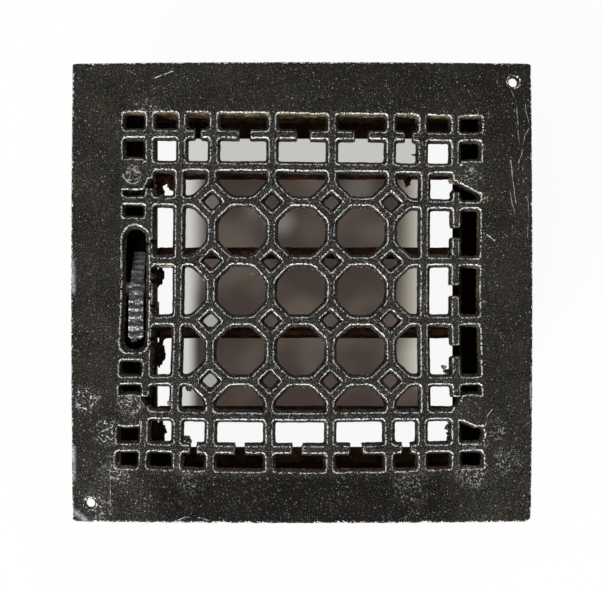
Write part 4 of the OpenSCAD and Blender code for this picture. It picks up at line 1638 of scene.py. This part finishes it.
@dataclass
class Register:
    """The whole register: its castings, its rust and the skins of its solids."""

    effects: SharedEffects

    def finishes(self) -> dict[str, Material]:
        """Make every material.

        Returns:
            The materials by name; the record's slots have the same names.
        """
        metals = (
            RustyMetal("rusty_iron", linear(26, 21, 19), linear(58, 38, 29),
                       linear(120, 96, 74), 0.5, 260.0),
            RustyMetal("rusty_sheet", linear(40, 30, 22), linear(82, 64, 44),
                       linear(172, 152, 116), 0.42, 190.0, 0.0),
            RustyMetal("dark_steel", linear(34, 25, 21), linear(62, 43, 34),
                       linear(130, 112, 96), 0.4, 320.0),
            RustyMetal("tan_scale", linear(104, 88, 68), linear(158, 140, 112),
                       linear(222, 212, 190), 0.12, 420.0))
        skins = {metal.name: metal.material(self.effects) for metal in metals}
        skins["painted_iron"] = PaintedIron().material(self.effects)
        skins["worn_rocker"] = WornRocker().material(self.effects)
        return skins

    def build(self) -> None:
        """Build every piece and give each one its finish."""
        skins = self.finishes()
        made = {"painted_iron": [FaceCasting(Pattern()).build()], "rusty_iron": []}
        cast = RibbedRocker(voxel=0.5, lump=0.3, lump_size=3.2, grain=0.22, grain_size=1.1)
        made["worn_rocker"] = [cast.copy("rocker_lever", "ribbed_rocker", "rocker", "painted_iron")]
        blade = Roughening(voxel=0.9, lump=0.22, lump_size=7.0, grain=0.2, grain_size=2.0,
                           calm_x=-79.5)
        for number in range(1, 5):
            made["rusty_iron"].append(blade.copy(
                f"louver_{number}", f"rusty_louver_{number}", f"blade_{number}", "rusty_iron"))
        for lump in self.rust_lumps():
            made.setdefault(lump.skin, []).append(lump.build())
        for slot, pieces in made.items():
            for piece in pieces:
                piece.data.materials.clear()
                piece.data.materials.append(skins[slot])
                LOG.info("%s: %d faces, %s", piece.name, len(piece.data.polygons), slot)
        for part in frame["record"]["subparts"]:
            node = frame["nodes"][part["node"]]
            for slot in node.material_slots:
                slot.material = skins[part["material_slot"]]
            LOG.info("%s: %s", part["node"], part["material_slot"])

    def rust_lumps(self) -> list[RustLump]:
        """Ragged rust at the cranks, on a rail and round some openings of the face.

        Returns:
            The lumps, not built yet.
        """
        blade, case, tan = "blade_4", "case", "tan_scale"
        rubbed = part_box("tie_bar")[1][0] / MM + 0.1
        lumps = [
            RustLump("swollen_rust", blade, (-78.0, 64.6, 36.5), (5.0, 2.8, 2.6), 7),
            RustLump("swollen_rust_right", blade, (-74.4, 61.4, 37.0), (2.0, 3.0, 2.2), 8),
            RustLump("swollen_rust_front", blade, (-82.0, 59.6, 38.0), (2.2, 3.4, 1.8), 9,
                     left=rubbed),
            RustLump("hanging_flake", blade, (60.2, 63.0, 37.0), (1.8, 2.4, 1.4), 10),
            RustLump("rail_crust", case, (-85.05, 63.5, 22.0), (0.2, 4.4, 15.0), 11),
            RustLump("heel_scale", "rocker", (-91.9, -23.1, 65.8), (3.2, 3.6, 2.1), 12,
                     "worn_rocker", "painted_iron", 0.3, 0.9),
            RustLump("tan_crust_left", case, (-74.7, 14.9, 70.1), (3.3, 1.2, 0.9), 13, tan),
            RustLump("tan_crust_corner", case, (82.6, 61.4, 70.0), (1.6, 1.5, 0.8), 14, tan),
            RustLump("tan_crust_front", case, (-72.2, -60.7, 69.4), (1.7, 1.2, 0.9), 15, tan),
            RustLump("tan_chip", case, (-27.4, 10.3, 71.1), (1.2, 1.0, 0.7), 16, tan)]
        chips = ((-63.4, -82.1, 2.2, 2.7), (-62.3, -52.9, 1.9, 1.1), (62.5, 76.0, 1.4, 0.45),
                 (80.2, -43.4, 1.7, 1.1), (78.5, -41.2, 1.3, 0.9), (81.2, -74.6, 1.7, 1.5),
                 (81.5, -79.2, 1.4, 2.2), (83.2, 53.4, 1.5, 2.6))
        for number, (x, y, wide, deep) in enumerate(chips, start=1):
            lumps.append(RustLump(f"casting_chip_{number}", case, (x, y, 66.8), (wide, deep, 1.5),
                                  20 + number, "painted_iron", "painted_iron", 0.6, 0.5))
        shapes = (((-0.2, 1.6), (3.2, 5.2, 3.0)), ((-0.3, 0.0), (2.8, 5.8, 3.2)),
                  ((0.2, -1.5), (1.6, 4.6, 3.2)), ((1.4, -1.5), (1.6, 4.2, 3.2)))
        for number, ((across, along), size) in enumerate(shapes, start=1):
            low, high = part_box(f"link_rivet_{number}")
            x, y, z = ((a + b) / 2 / MM for a, b in zip(low, high))
            lumps.append(RustLump(f"crank_scale_{number}", f"blade_{number}",
                                  (x + across, y + along, z - 2.0), size, number, ragged=0.45,
                                  left=rubbed))
        return lumps


@dataclass
class Studio:
    """Floor, lamps, white surroundings and the camera above the face."""

    camera_gap: float = 0.95
    lens: float = 103.4
    sensor: float = 36.0
    aim: tuple[float, float] = (-0.00044, -0.00099)
    face_height: float = 0.07
    # Name, place, side in metres and power in watts
    lamps: tuple = (("key", (-0.8, -2.1, 1.05), 0.6, 70.0), ("back", (0.35, 1.1, 0.7), 0.5, 6.0),
                    ("overhead", (-0.4, 0.2, 1.9), 1.0, 9.0))
    # Strength of the surroundings as light, and as the camera sees them
    surround: float = 0.3
    backdrop: float = 0.95

    def build(self) -> None:
        """Set up everything that isn't part of the register."""
        self.floor()
        self.world()
        for settings in self.lamps:
            self.lamp(*settings)
        self.camera()
        bpy.context.scene.view_settings.view_transform = "Standard"

    def floor(self) -> None:
        """Lay the floor that the case stands on."""
        work = bmesh.new()
        bmesh.ops.create_grid(work, x_segments=8, y_segments=8, size=4.0)
        mesh = bpy.data.meshes.new("floor")
        work.to_mesh(mesh)
        work.free()
        mesh.materials.append(PaleFloor().material())
        floor = placed("floor", mesh)

    def world(self) -> None:
        """Even light all round, white where the camera looks past the floor."""
        world = bpy.data.worlds.new("studio")
        bpy.context.scene.world = world
        world.use_nodes = True
        world.node_tree.nodes.clear()
        wire = Wiring(world.node_tree)
        seen = wire.add("ShaderNodeLightPath").outputs["Is Camera Ray"]
        strength = wire.blend(seen, self.surround, self.backdrop)
        light = wire.add("ShaderNodeBackground", {"Color": (1, 1, 1), "Strength": strength})
        wire.add("ShaderNodeOutputWorld", {"Surface": light.outputs[0]})

    def lamp(self, name: str, at: tuple[float, float, float], size: float, power: float) -> None:
        """Hang a square soft lamp that points at the face.

        Args:
            name: Name of the lamp.
            at: Its place.
            size: Its side.
            power: Its power in watts.
        """
        light = bpy.data.lights.new(name, "AREA")
        light.size = size
        light.energy = power
        lamp = placed(name, light)
        lamp.location = at
        aim = Vector((0, 0, self.face_height)) - Vector(at)
        lamp.rotation_euler = aim.to_track_quat("-Z", "Y").to_euler()

    def camera(self) -> None:
        """Hang the camera straight above the face."""
        _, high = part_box("face_grille")
        data = bpy.data.cameras.new("camera")
        data.lens = self.lens
        data.sensor_width = self.sensor
        camera = placed("camera", data)
        camera.location = (*self.aim, high.z + self.camera_gap)
        bpy.context.scene.camera = camera


def main() -> None:
    """Build the register and its studio."""
    logging.basicConfig(level=logging.INFO, format="%(name)s %(message)s")
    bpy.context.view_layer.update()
    Register(SharedEffects()).build()
    Studio().build()


if __name__ == "__main__":
    main()
